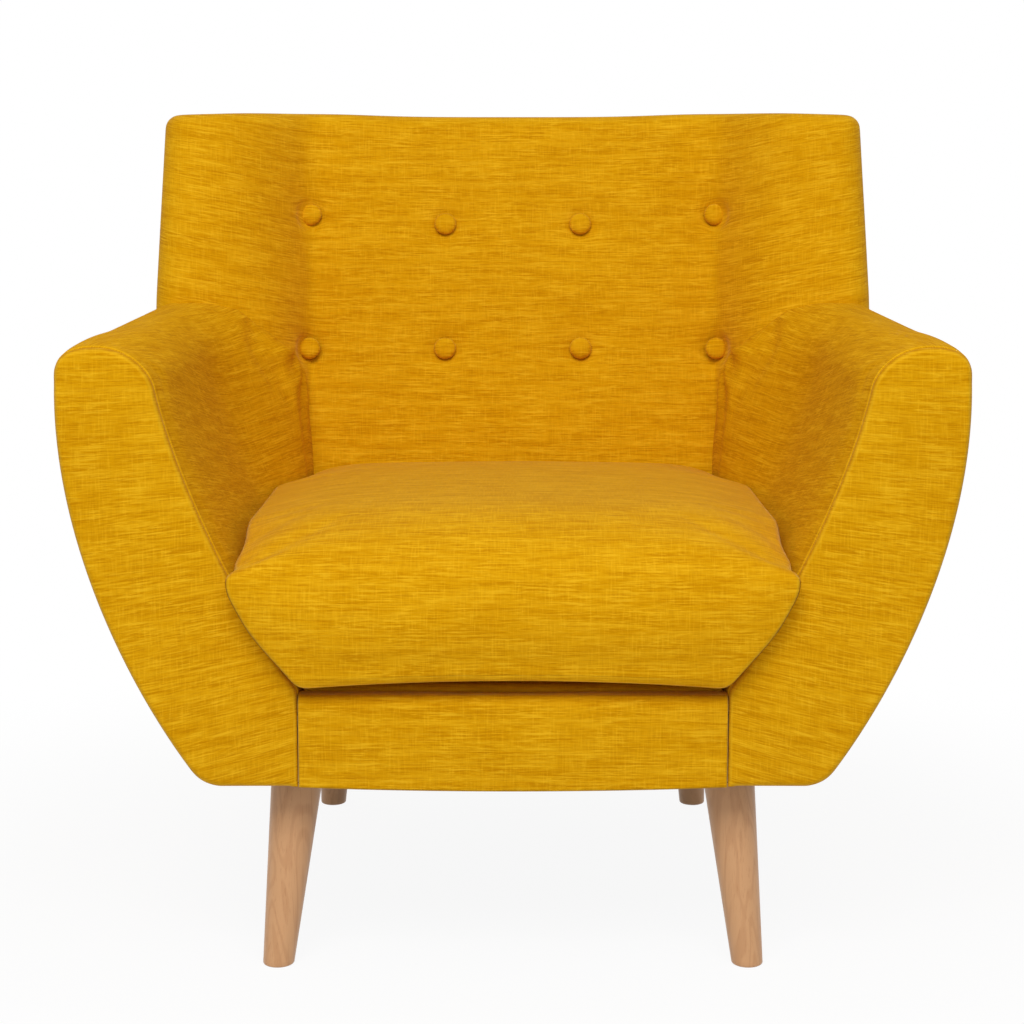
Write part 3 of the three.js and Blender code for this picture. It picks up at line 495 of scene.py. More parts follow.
class ClothMesh:
    """Collects patches of cloth and welds them into one object."""

    def __init__(self, inside: Sequence[float]) -> None:
        """Start with nothing sewn.

        Args:
            inside: A point on the stuffing's side, so that the faces turn away from it.
        """
        self.inside = np.asarray(inside, float)
        self.points: list[Array] = []
        self.quads: list[Array] = []
        self.weave: list[Array] = []
        self.marks: dict[str, list[Array]] = {"held": [], "seam": []}
        self.count = 0

    def add(
        self,
        points: Array,
        weave: Array,
        held: Values = 0.0,
        seam: Values = SEAMLESS,
        keep: Array | None = None,
    ) -> None:
        """Add a grid of points.

        Args:
            points: Rows by columns by 3.
            weave: Cloth coordinates, rows by columns by 2: along the thick threads, and across.
            held: How firmly each point is held while the cloth fills, from 0 to 1.
            seam: Distance of each point from the nearest seam.
            keep: Which points are kept, or None for all of them.
        """
        shape = points.shape[:2]
        index = np.arange(shape[0] * shape[1]).reshape(shape)
        around = (index[:-1, :-1], index[:-1, 1:], index[1:, 1:], index[1:, :-1])
        quads = np.stack(around, -1).reshape(-1, 4)
        if keep is not None:
            quads = quads[keep.reshape(-1)[quads].all(axis=1)]
        flat = points.reshape(-1, 3)
        corners = flat[quads]
        normals = np.cross(corners[:, 2] - corners[:, 0], corners[:, 3] - corners[:, 1])
        if (normals * (corners.mean(axis=1) - self.inside)).sum() < 0:
            quads = quads[:, ::-1]
        self.points.append(flat)
        self.quads.append(quads + self.count)
        self.weave.append(weave.reshape(-1, 2)[quads])
        for name, values in (("held", held), ("seam", seam)):
            self.marks[name].append(np.broadcast_to(values, shape).reshape(-1))
        self.count += len(flat)

    def build(self, name: str, filling: Filling | None = None) -> Piece:
        """Weld the patches, make the object and fill it.

        Args:
            name: The piece's name.
            filling: What it is filled with, or None to leave it as it is sewn.

        Returns:
            The object, with a weave map and held and seam attributes.
        """
        points = np.vstack(self.points)
        keys = np.round(points / WELD).astype(np.int64)
        _, first, merged = np.unique(keys, axis=0, return_index=True, return_inverse=True)
        merged = merged.reshape(-1)
        quads = merged[np.vstack(self.quads)]
        used = np.unique(quads)
        renumber = np.full(len(first), -1)
        renumber[used] = np.arange(len(used))
        faces: list[list[int]] = []
        maps: list[Array] = []
        for quad, corner in zip(renumber[quads].tolist(), np.vstack(self.weave)):
            kept = [k for k in range(4) if quad[k] != quad[k - 1]]
            if len(kept) >= 3 and len({quad[k] for k in kept}) == len(kept):
                faces.append([quad[k] for k in kept])
                maps.append(corner[kept])
        mesh = bpy.data.meshes.new(name)
        mesh.from_pydata(points[first[used]].tolist(), [], faces)
        layer = mesh.uv_layers.new(name="weave")
        layer.data.foreach_set("uv", np.vstack(maps).astype(np.float32).reshape(-1))
        for mark, pick, blank in (("held", np.maximum, 0.0), ("seam", np.minimum, HUGE)):
            found = np.full(len(first), blank)
            pick.at(found, merged, np.concatenate(self.marks[mark]))
            attribute = mesh.attributes.new(mark, "FLOAT", "POINT")
            attribute.data.foreach_set("value", found[used].astype(np.float32))
        mesh.shade_smooth()
        mesh.update()
        piece = add_object(name, mesh)
        if filling is not None:
            filling.swell(piece)
        return piece


@dataclass(frozen=True)
class Filling:
    """How a cover swells over its stuffing.

    The cover is a cloth under air pressure that is held where it is sewn or tied down.
    """

    pressure: float
    reach: float
    tension: float = 15.0
    bending: float = 0.5
    mass: float = 0.3
    quality: int = 5
    frames: int = 20

    def swell(self, piece: Piece) -> None:
        """Run the cloth and write the result into the mesh.

        Args:
            piece: A mesh with a held attribute.
        """
        start = points_of(piece.data)
        held = np.empty(len(start), np.float32)
        piece.data.attributes["held"].data.foreach_get("value", held)
        trial = add_object(piece.name + "_trial", piece.data.copy())
        group = trial.vertex_groups.new(name="held")
        for weight in np.unique(np.round(held, 2)):
            chosen = np.flatnonzero(np.isclose(np.round(held, 2), weight))
            if weight > 0:
                group.add(chosen.tolist(), float(weight), "REPLACE")
        self._add_cloth(trial, bool((held > 0).any()))
        scene = bpy.context.scene
        for number in range(1, self.frames + 1):
            scene.frame_set(number)
        found = points_of(trial.evaluated_get(bpy.context.evaluated_depsgraph_get()).data)
        scene.frame_set(1)
        moved = found[: len(start)] - start
        size = np.linalg.norm(moved, axis=1, keepdims=True)
        capped = moved * self.reach * np.tanh(size / self.reach) / np.maximum(size, TINY)
        move_points(piece, start + capped)
        bpy.data.objects.remove(trial)
        most = 1000 * float(np.linalg.norm(capped, axis=1).max())
        LOG.info("%s swelled by up to %.1f mm", piece.name, most)

    def _add_cloth(self, trial: Piece, pinned: bool) -> None:
        """Put the cloth modifier on the trial copy.

        Args:
            trial: The copy that is simulated.
            pinned: Whether some of it is held.
        """
        modifier = trial.modifiers.new("cloth", "CLOTH")
        settings = modifier.settings
        settings.quality = self.quality
        settings.mass = self.mass
        settings.tension_stiffness = self.tension
        settings.compression_stiffness = self.tension
        settings.shear_stiffness = self.tension / 2
        settings.bending_stiffness = self.bending
        settings.use_pressure = True
        settings.uniform_pressure_force = self.pressure
        settings.effector_weights.gravity = 0.0
        if pinned:
            settings.vertex_group_mass = "held"
        modifier.collision_settings.use_collision = False
        modifier.point_cache.frame_start = 1
        modifier.point_cache.frame_end = self.frames


@dataclass(frozen=True)
class PanelSides:
    """The four edges of a padded panel, in the panel's own plane.

    left and right run up, bottom and top run from left to right, and they meet at the corners.
    """

    left: Array
    right: Array
    bottom: Array
    top: Array

    @classmethod
    def close(
        cls, left: Array, right: Array, bottom: Array | None = None, top: Array | None = None
    ) -> "PanelSides":
        """Join the left and right edges, by a straight line where none is given."""
        straight = (np.array([left[end], right[end]]) for end in (0, -1))
        below, above = (line if given is None else given for line, given in zip(straight, (bottom, top)))
        return cls(left, right, below, above)

    def outline(self) -> Array:
        """The closed outline."""
        return np.vstack([self.bottom, self.right[1:], self.top[::-1][1:], self.left[::-1][1:]])

    def grid(self, across: int, up: int) -> Array:
        """Spread points over the panel.

        Args:
            across: Steps from left to right.
            up: Steps from bottom to top.

        Returns:
            Rows by columns by 2.
        """
        u, v = clustered(across), clustered(up)
        bottom, top = resample(self.bottom, u)[None], resample(self.top, u)[None]
        left, right = resample(self.left, v)[:, None], resample(self.right, v)[:, None]
        uu, vv = u[None, :, None], v[:, None, None]
        corners = (
            (1 - uu) * (1 - vv) * self.bottom[0]
            + uu * (1 - vv) * self.bottom[-1]
            + (1 - uu) * vv * self.top[0]
            + uu * vv * self.top[-1]
        )
        return (1 - vv) * bottom + vv * top + (1 - uu) * left + uu * right - corners


@dataclass(frozen=True)
class PaddedPanel:
    """A cover over a flat board: a slightly full face whose rounded edge turns back."""

    edge: float = 0.005
    fullness: float = 0.003
    depth: float = 0.019
    tuck: float = 0.0015
    lean: float = 0.0
    crisp: float = 1.0
    soft: float = 0.028
    turned: tuple[float, float, float, float] = (0.0, 0.12, 0.4, 1.0)
    across: int = 44
    up: int = 80

    def sew(
        self,
        sides: PanelSides,
        place: Callable[[Array, Array, Array], tuple[Values, ...]],
        inside: Sequence[float],
        name: str,
    ) -> Piece:
        """Make the panel.

        Args:
            sides: Its edges in its own plane.
            place: Gives X, Y and Z for the plane's two coordinates and how far each point is sunk.
            inside: A point on the stuffing's side.
            name: The piece's name.

        Returns:
            The piece.
        """
        grid = sides.grid(self.across, self.up)
        x, y = axes(grid)
        gap = distance_to(sides.outline(), grid)
        sunk = self.edge * fallen(gap, self.edge) - self.fullness * (1.0 - np.exp(-gap / self.soft))
        slant = self.lean * (1.0 - clustered(self.up)[:, None]) * (x - x.mean())
        cloth = ClothMesh(inside)
        cloth.add(join(*place(x, y, sunk)), join(x, y + slant), seam=gap * self.crisp)
        ring = np.vstack([grid[0], grid[1:, -1], grid[-1, ::-1][1:], grid[::-1, 0][1:]])
        run = lengths_along(ring, 0)
        inward = unit(ring.mean(axis=0) - ring)
        rows, maps = [], []
        for share in self.turned:
            pull = self.tuck * min(1.0, share / self.turned[1])
            down = np.full(len(ring), self.edge + share * (self.depth - self.edge))
            rows.append(join(*place(*axes(ring + inward * pull), down)))
            maps.append(join(run, down))
        cloth.add(np.array(rows), np.array(maps))
        return round_off(cloth.build(name))


# ---- finishes


def linear(colour: Vec3) -> tuple[float, ...]:
    """A display colour from 0 to 255 as the shader's linear colour."""
    parts = (c / 255.0 for c in colour)
    return (*(c / 12.92 if c <= 0.04045 else ((c + 0.055) / 1.055) ** 2.4 for c in parts), 1.0)


class NodeBench:
    """Lays out shader nodes with little writing."""

    def __init__(self, tree: Tree) -> None:
        """Work on one node tree."""
        self.tree = tree

    def fill(self, node: Node, inputs: dict[str | int, object]) -> Node:
        """Give a node's inputs their sockets or plain values.

        Args:
            node: The node.
            inputs: A socket or a plain value for each input, by its name or number.

        Returns:
            The node.
        """
        for key, value in inputs.items():
            if isinstance(value, Socket):
                self.tree.links.new(value, node.inputs[key])
            else:
                node.inputs[key].default_value = value
        return node

    def node(self, kind: str, inputs: dict[str | int, object] | None = None, **settings: object) -> Node:
        """Add a shader node.

        Args:
            kind: Its type, without the leading "ShaderNode".
            inputs: A socket or a plain value for each input.
            **settings: Properties to set on it.

        Returns:
            The node.
        """
        made = self.tree.nodes.new("ShaderNode" + kind)
        for key, value in settings.items():
            setattr(made, key, value)
        return self.fill(made, inputs or {})

    def maths(self, operation: str, *values: object, clamp: bool = False) -> Socket:
        """The result of a maths node on sockets or numbers."""
        made = self.node("Math", dict(enumerate(values)), operation=operation, use_clamp=clamp)
        return made.outputs[0]

    def times(self, a: object, b: object) -> Socket:
        """A value times another."""
        return self.maths("MULTIPLY", a, b)

    def scaled(self, value: object, factor: object, offset: object, clamp: bool = False) -> Socket:
        """A value times a factor plus an offset."""
        return self.maths("MULTIPLY_ADD", value, factor, offset, clamp=clamp)

    def flip(self, value: object) -> Socket:
        """One less a value."""
        return self.maths("SUBTRACT", 1.0, value)

    def noise(
        self, place: Socket, scale: Vec3, detail: float = 2.0, rough: float = 0.5, warp: float = 0.0
    ) -> Socket:
        """A noise over stretched coordinates.

        Args:
            place: The coordinates.
            scale: How they are stretched along each axis.
            detail: Octaves.
            rough: How strong the small ones are.
            warp: Distortion.

        Returns:
            The value, around a half.
        """
        vector = self.node("VectorMath", {0: place, 1: scale}, operation="MULTIPLY").outputs[0]
        inputs = {"Vector": vector, "Scale": 1.0, "Detail": detail, "Roughness": rough, "Distortion": warp}
        return self.node("TexNoise", inputs, noise_dimensions="3D").outputs[0]

    def step(self, value: object, low: float, high: float) -> Socket:
        """A smooth 0 to 1 between two limits."""
        inputs = {"Value": value, "From Min": low, "From Max": high}
        return self.node("MapRange", inputs, interpolation_type="SMOOTHSTEP").outputs[0]

    def blend(self, share: object, a: object, b: object) -> Socket:
        """A colour between two: a at a share of 0, b at 1."""
        return self.node("Mix", {"Factor": share, 6: a, 7: b}, data_type="RGBA").outputs[2]

    def bump(self, height: Socket, strength: float, distance: float, invert: bool = False,
             normal: Socket | None = None) -> Socket:
        """A normal that is tilted by a height.

        Args:
            height: The height.
            strength: Share of its effect.
            distance: How high a height of 1 stands.
            invert: Whether it goes down instead.
            normal: The normal it starts from, or None for the mesh's own.

        Returns:
            The new normal.
        """
        inputs = {"Height": height, "Strength": strength, "Distance": distance}
        if normal is not None:
            inputs["Normal"] = normal
        return self.node("Bump", inputs, invert=invert).outputs["Normal"]

    def place(self) -> Socket:
        """The object's own coordinates."""
        return self.node("TexCoord").outputs["Object"]

    def effect(self, make: Callable[[str], Tree], inputs: dict[str, object]) -> bpy.types.bpy_prop_collection:
        """Put a shared effect into a material, and make its group the first time.

        Args:
            make: The function that makes the group.
            inputs: A socket or a plain value for each of its inputs.

        Returns:
            Its outputs.
        """
        name = make.__name__
        tree = bpy.data.node_groups.get(name) or make(name)
        return self.node("Group", inputs, node_tree=tree).outputs


class EffectGroup(NodeBench):
    """A shader node group that is made once and placed in many materials."""

    def __init__(self, name: str, inputs: dict[str, str]) -> None:
        """Open a group.

        Args:
            name: The group's name.
            inputs: The socket type of each input, by its name.
        """
        super().__init__(bpy.data.node_groups.new(name, "ShaderNodeTree"))
        for label, kind in inputs.items():
            self.tree.interface.new_socket(label, in_out="INPUT", socket_type=kind)
        self.given = self.tree.nodes.new("NodeGroupInput").outputs

    def close(self, results: dict[str, Socket]) -> Tree:
        """Name the group's results and return its tree."""
        for label in results:
            self.tree.interface.new_socket(label, in_out="OUTPUT", socket_type="NodeSocketFloat")
        self.fill(self.tree.nodes.new("NodeGroupOutput"), results)
        return self.tree


def slub_weave(name: str) -> Tree:
    """The slub cloth's threads: values for the light and the dark ones, clouding and a height.

    Each noise is stretched by how often it repeats in a metre along the thick threads and across.
    """
    bench = EffectGroup(name, {"Cloth": "NodeSocketVector"})
    cloth = bench.given["Cloth"]
    long_weft = bench.noise(cloth, (24.0, 540.0, 1.0), rough=0.6)
    short_weft = bench.noise(cloth, (72.0, 700.0, 1.0), rough=0.6)
    warp = bench.noise(cloth, (600.0, 40.0, 1.0), rough=0.6)
    bands = bench.noise(cloth, (8.0, 120.0, 1.0), rough=0.6)
    patch = bench.step(bench.noise(cloth, (26.0, 60.0, 1.0)), 0.36, 0.64)
    light = bench.maths(
        "MAXIMUM", bench.step(long_weft, 0.5, 0.7), bench.times(bench.step(short_weft, 0.5, 0.72), 0.85)
    )
    light = bench.times(light, bench.scaled(patch, 0.75, 0.4))
    light = bench.scaled(bench.step(bench.flip(bands), 0.44, 0.68), 0.24, light)
    light = bench.scaled(bench.step(warp, 0.5, 0.74), 0.42, light, clamp=True)
    dark = bench.times(bench.step(bench.flip(long_weft), 0.48, 0.68), 0.6)
    dark = bench.scaled(bench.step(bench.flip(short_weft), 0.48, 0.7), 0.5, dark)
    dark = bench.scaled(bench.step(bench.flip(warp), 0.5, 0.72), 0.3, dark)
    dark = bench.scaled(bench.step(bands, 0.42, 0.66), 0.35, dark, clamp=True)
    over, under = (
        bench.node("TexWave", {"Vector": cloth, "Scale": scale}, wave_type="BANDS", bands_direction=way)
        for scale, way in ((300.0, "X"), (340.0, "Y"))
    )
    height = bench.scaled(under.outputs["Fac"], 0.28, bench.times(over.outputs["Fac"], 0.16))
    for thread, strength in ((long_weft, 1.1), (short_weft, 0.8), (warp, 0.55)):
        height = bench.scaled(thread, strength, height)
    cloud = bench.noise(cloth, (7.0, 9.0, 1.0), 3.0, 0.55)
    return bench.close({"Light Threads": light, "Dark Threads": dark, "Cloud": cloud, "Height": height})


def sewn_seam(name: str) -> Tree:
    """The groove, the painted shade and the painted highlight on the ridge beside a sewn seam, from the
    distance to it.
    """
    bench = EffectGroup(name, {"Distance": "NodeSocketFloat", "Place": "NodeSocketVector"})
    distance = bench.given["Distance"]
    pucker = bench.noise(bench.given["Place"], (85.0, 85.0, 85.0), 1.0)
    near = bench.maths("DIVIDE", distance, bench.scaled(pucker, 0.0035, 0.0012))
    groove = bench.maths("POWER", 2.718, bench.times(bench.times(near, near), -1.0))
    # Painted shade right at the seam, then a painted highlight on the ridge a little off it.
    shade = bench.flip(bench.step(distance, 0.0002, 0.0016))
    rise, fall = bench.step(distance, 0.0012, 0.0024), bench.step(distance, 0.0026, 0.0048)
    ridge_highlight = bench.maths("SUBTRACT", rise, fall, clamp=True)
    return bench.close({"Groove": groove, "Shade": shade, "Ridge Highlight": ridge_highlight})


def wood_grain(name: str) -> Tree:
    """Growth lines and pores that run along a piece of wood."""
    bench = EffectGroup(name, {"Place": "NodeSocketVector"})
    place = bench.given["Place"]
    figure = bench.noise(place, (26.0, 26.0, 3.2), warp=0.4)
    wave = bench.maths("SINE", bench.times(figure, 72.0))
    rings = bench.step(bench.scaled(wave, 0.5, 0.5), 0.35, 1.0)
    pores = bench.step(bench.noise(place, (620.0, 620.0, 16.0), rough=0.6), 0.52, 0.75)
    return bench.close({"Rings": rings, "Pores": pores})


def new_material(name: str) -> tuple[Material, NodeBench, Node]:
    """A material with its Principled shader alone.

    Args:
        name: The finish's name.

    Returns:
        The material, a bench on its nodes and the shader node.
    """
    material = bpy.data.materials.new(name)
    material.use_nodes = True
    shader = next(n for n in material.node_tree.nodes if n.type == "BSDF_PRINCIPLED")
    return material, NodeBench(material.node_tree), shader


class Finish:
    """A finish that makes its own material from its shader's inputs."""

    name: str

    def inputs(self, bench: NodeBench) -> dict[str, object]:
        """The Principled shader's inputs, by name."""
        raise NotImplementedError

    def material(self) -> Material:
        """Make the material."""
        material, bench, shader = new_material(self.name)
        bench.fill(shader, self.inputs(bench))
        return material


@dataclass(frozen=True)
class SlubCloth(Finish):
    """Plain-woven upholstery cloth with thick and thin threads, with painted shade and a painted highlight
    beside its seams, and a darker copy with painted shade all over.
    """

    name: str = "mustard_slub_cloth"
    base: Vec3 = (217, 156, 3)
    light: Vec3 = (238, 184, 30)
    dark: Vec3 = (188, 124, 0)
    relief: float = 0.0005
    shadow: Vec3 = (188, 124, 0)
    shadowed: float = 0.55
    # How far the whole cloth is darkened as painted shade, for a copy laid on cloth that sits in shade.
    deepness: float = 0.0
    sheen: float = 0.26

    def inputs(self, bench: NodeBench) -> dict[str, object]:
        """The cloth's inputs."""
        cloth = bench.node("UVMap", uv_map="weave").outputs[0]
        distance = bench.node("Attribute", attribute_name="seam").outputs["Fac"]
        threads = bench.effect(slub_weave, {"Cloth": cloth})
        seam = bench.effect(sewn_seam, {"Distance": distance, "Place": bench.place()})
        colour, light, dark = linear(self.base), linear(self.light), linear(self.dark)
        worn = bench.step(threads["Cloud"], 0.3, 0.75)
        for share, tone in (
            # Painted shade: more dark threads and fewer light ones over the whole cloth.
            (bench.scaled(threads["Dark Threads"], 0.75, self.deepness), dark),
            (bench.times(threads["Light Threads"], 0.8 - self.deepness), light),
            (bench.times(worn, 0.14), dark),
            # Painted highlight on the ridge beside each seam.
            (bench.times(seam["Ridge Highlight"], 0.45), light),
            (bench.times(seam["Shade"], self.shadowed), linear(self.shadow)),
        ):
            colour = bench.blend(share, colour, tone)
        weave = bench.bump(threads["Height"], 0.55, self.relief)
        return {
            "Base Color": colour,
            "Roughness": bench.scaled(threads["Light Threads"], -0.12, 0.86),
            "Sheen Weight": self.sheen,
            "Sheen Roughness": 0.35,
            "Sheen Tint": (1.0, 0.82, 0.38, 1.0),
            "Specular IOR Level": 0.03,
            "Normal": bench.bump(seam["Groove"], 0.8, 0.0022, invert=True, normal=weave),
        }


@dataclass(frozen=True)
class Timber(Finish):
    """Sawn or turned wood with its grain along one axis."""

    name: str
    pale: Vec3
    brown: Vec3
    rough: float
    coat: float = 0.0
    turn: Vec3 = (0.0, 0.0, 0.0)
    contrast: float = 0.6

    def inputs(self, bench: NodeBench) -> dict[str, object]:
        """The wood's inputs."""
        turn = tuple(math.radians(angle) for angle in self.turn)
        turned = bench.node("Mapping", {"Vector": bench.place(), "Rotation": turn}).outputs[0]
        grain = bench.effect(wood_grain, {"Place": turned})
        share = bench.times(grain["Rings"], self.contrast)
        share = bench.scaled(grain["Pores"], 0.35, share, clamp=True)
        return {
            "Base Color": bench.blend(share, linear(self.pale), linear(self.brown)),
            "Roughness": bench.scaled(grain["Pores"], 0.12, self.rough),
            "Coat Weight": self.coat,
            "Coat Roughness": 0.35,
            "Normal": bench.bump(grain["Pores"], 0.3, 0.0003, invert=True),
        }


@dataclass(frozen=True)
class Plies(Finish):
    """Plywood: veneers in layers through its thickness, with a plain face."""

    name: str = "birch_plywood"
    axis: Vec3 = (0.0, 1.0, 0.0)
    pale: Vec3 = (214, 184, 140)
    brown: Vec3 = (168, 124, 78)
    pitch: float = 0.0029

    def inputs(self, bench: NodeBench) -> dict[str, object]:
        """The plywood's inputs."""
        place = bench.place()
        layer = bench.node("VectorMath", {0: place, 1: self.axis}, operation="DOT_PRODUCT")
        wave = bench.maths("SINE", bench.times(layer.outputs["Value"], 2 * math.pi / self.pitch))
        grain = bench.noise(place, (40.0, 900.0, 500.0), 3.0, 0.6)
        share = bench.scaled(grain, 0.45, bench.times(bench.step(wave, -0.2, 0.4), 0.3), clamp=True)
        return {
            "Base Color": bench.blend(share, linear(self.pale), linear(self.brown)),
            "Roughness": bench.scaled(grain, 0.2, 0.62),
        }


@dataclass(frozen=True)
class Steel(Finish):
    """Bright or oiled steel wire and hardware."""

    name: str
    tone: Vec3
    stain: Vec3
    rough: float

    def inputs(self, bench: NodeBench) -> dict[str, object]:
        """The metal's inputs."""
        spots = bench.noise(bench.place(), (240.0, 240.0, 240.0), 4.0, 0.65)
        return {
            "Base Color": bench.blend(bench.step(spots, 0.45, 0.8), linear(self.tone), linear(self.stain)),
            "Metallic": 1.0,
            "Roughness": bench.scaled(spots, 0.25, self.rough),
        }


@dataclass(frozen=True)
class PlainWeave(Finish):
    """Webbing or lining: a coarse cloth whose threads follow the axes."""

    name: str
    tone: Vec3
    light: Vec3
    pitch: float

    def inputs(self, bench: NodeBench) -> dict[str, object]:
        """The cloth's inputs."""
        place = bench.place()
        x, y, z = bench.node("SeparateXYZ", {0: place}).outputs
        turns = 2 * math.pi / self.pitch
        along = bench.maths("SINE", bench.times(bench.maths("ADD", y, z), turns))
        cells = bench.times(bench.maths("SINE", bench.times(x, turns)), along)
        lint = bench.noise(place, (900.0, 900.0, 900.0), rough=0.6)
        share = bench.scaled(cells, 0.3, bench.times(lint, 0.6), clamp=True)
        return {
            "Base Color": bench.blend(share, linear(self.tone), linear(self.light)),
            "Roughness": bench.scaled(lint, 0.1, 0.85),
            "Normal": bench.bump(cells, 0.5, 0.0004),
        }


class Finishes:
    """Every material of the chair, made once."""

    def __init__(self) -> None:
        """Make them all."""
        pine = {"pale": (214, 178, 128), "brown": (170, 122, 74), "rough": 0.6}
        self.cloth = SlubCloth().material()
        # A darker copy with painted shade and less sheen, for the inside arms and the deck, which sit in
        # shade.
        self.arm_cloth = SlubCloth("mustard_slub_cloth_painted_shade", deepness=0.1, sheen=0.02).material()
        # The cushion's copy paints a deeper shade along its seams, as the shadow in the gaps beside the
        # cushion.
        self.cushion_cloth = SlubCloth(
            "mustard_slub_cloth_cushion", shadow=(112, 64, 2), shadowed=0.8
        ).material()
        self.leg = Timber(
            "pale_leg_wood", (205, 155, 108), (176, 122, 76), 0.42, coat=0.12, contrast=0.3
        ).material()
        self.rail = Timber("frame_wood_lengthwise", turn=(90.0, 0.0, 0.0), **pine).material()
        self.cross_rail = Timber("frame_wood_crosswise", turn=(0.0, 90.0, 0.0), **pine).material()
        self.ply = Plies().material()
        self.side_ply = Plies("birch_plywood_upright", axis=(1.0, 0.0, 0.0)).material()
        self.zinc = Steel("zinc_plated_steel", (196, 198, 202), (150, 152, 158), 0.25).material()
        self.wire = Steel("oiled_spring_wire", (112, 112, 116), (58, 54, 52), 0.3).material()
        self.webbing = PlainWeave("jute_webbing", (92, 76, 52), (150, 128, 92), 0.0016).material()
        self.lining = PlainWeave("black_lining", (22, 22, 24), (52, 52, 56), 0.0012).material()


def dress(piece: Piece, material: Material) -> None:
    """Give a piece its material."""
    piece.data.materials.clear()
    piece.data.materials.append(material)


def settle(
    piece: Piece,
    body: str,
    nodes: Sequence[str],
    material: Material,
) -> Piece:
    """Dress a piece and tie it to the frame.

    Args:
        piece: The piece.
        body: The body it rides on.
        nodes: The CAD nodes it stands for.
        material: Its finish.

    Returns:
        The piece.
    """
    dress(piece, material)
    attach(piece, body)
    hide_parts(*nodes)
    LOG.info("%s stands for %s", piece.name, ", ".join(nodes))
    return piece


# ---- the back


@dataclass(frozen=True)
class ButtonSpot:
    """One tufting button: its name and where it is tied down."""

    node: str
    x: float
    z: float

    @classmethod
    def all(cls) -> list["ButtonSpot"]:
        """Every button of the frame."""
        boxes = {node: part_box(node) for node in sorted(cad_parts) if node.startswith("button_")}
        return [cls(node, (a.x + b.x) / 2, (a.z + b.z) / 2) for node, (a, b) in boxes.items()]


@dataclass(frozen=True)
class ButtonWells:
    """The hollows that the buttons pull into the padding round them."""

    form: ChairForm
    spots: Sequence[ButtonSpot]
    radius: float = 0.018
    depth: float = 0.004
    sharpness: float = 4.0
    reach: float = 0.09

    def press(self, points: Array) -> Array:
        """Push a cover's points out of the hollows.

        Args:
            points: The cover's points.

        Returns:
            The moved points.
        """
        moved = points.copy()
        for spot in self.spots:
            y = float(self.form.inside_back(spot.z)) + self.depth - self.radius
            gap = moved - np.array([spot.x, y, spot.z])
            distance = np.maximum(np.linalg.norm(gap, axis=-1, keepdims=True), NUDGE)
            wide = (distance**self.sharpness + self.radius**self.sharpness) ** (1 / self.sharpness)
            moved = np.where(distance < self.reach, moved + gap * (wide / distance - 1.0), moved)
        return moved


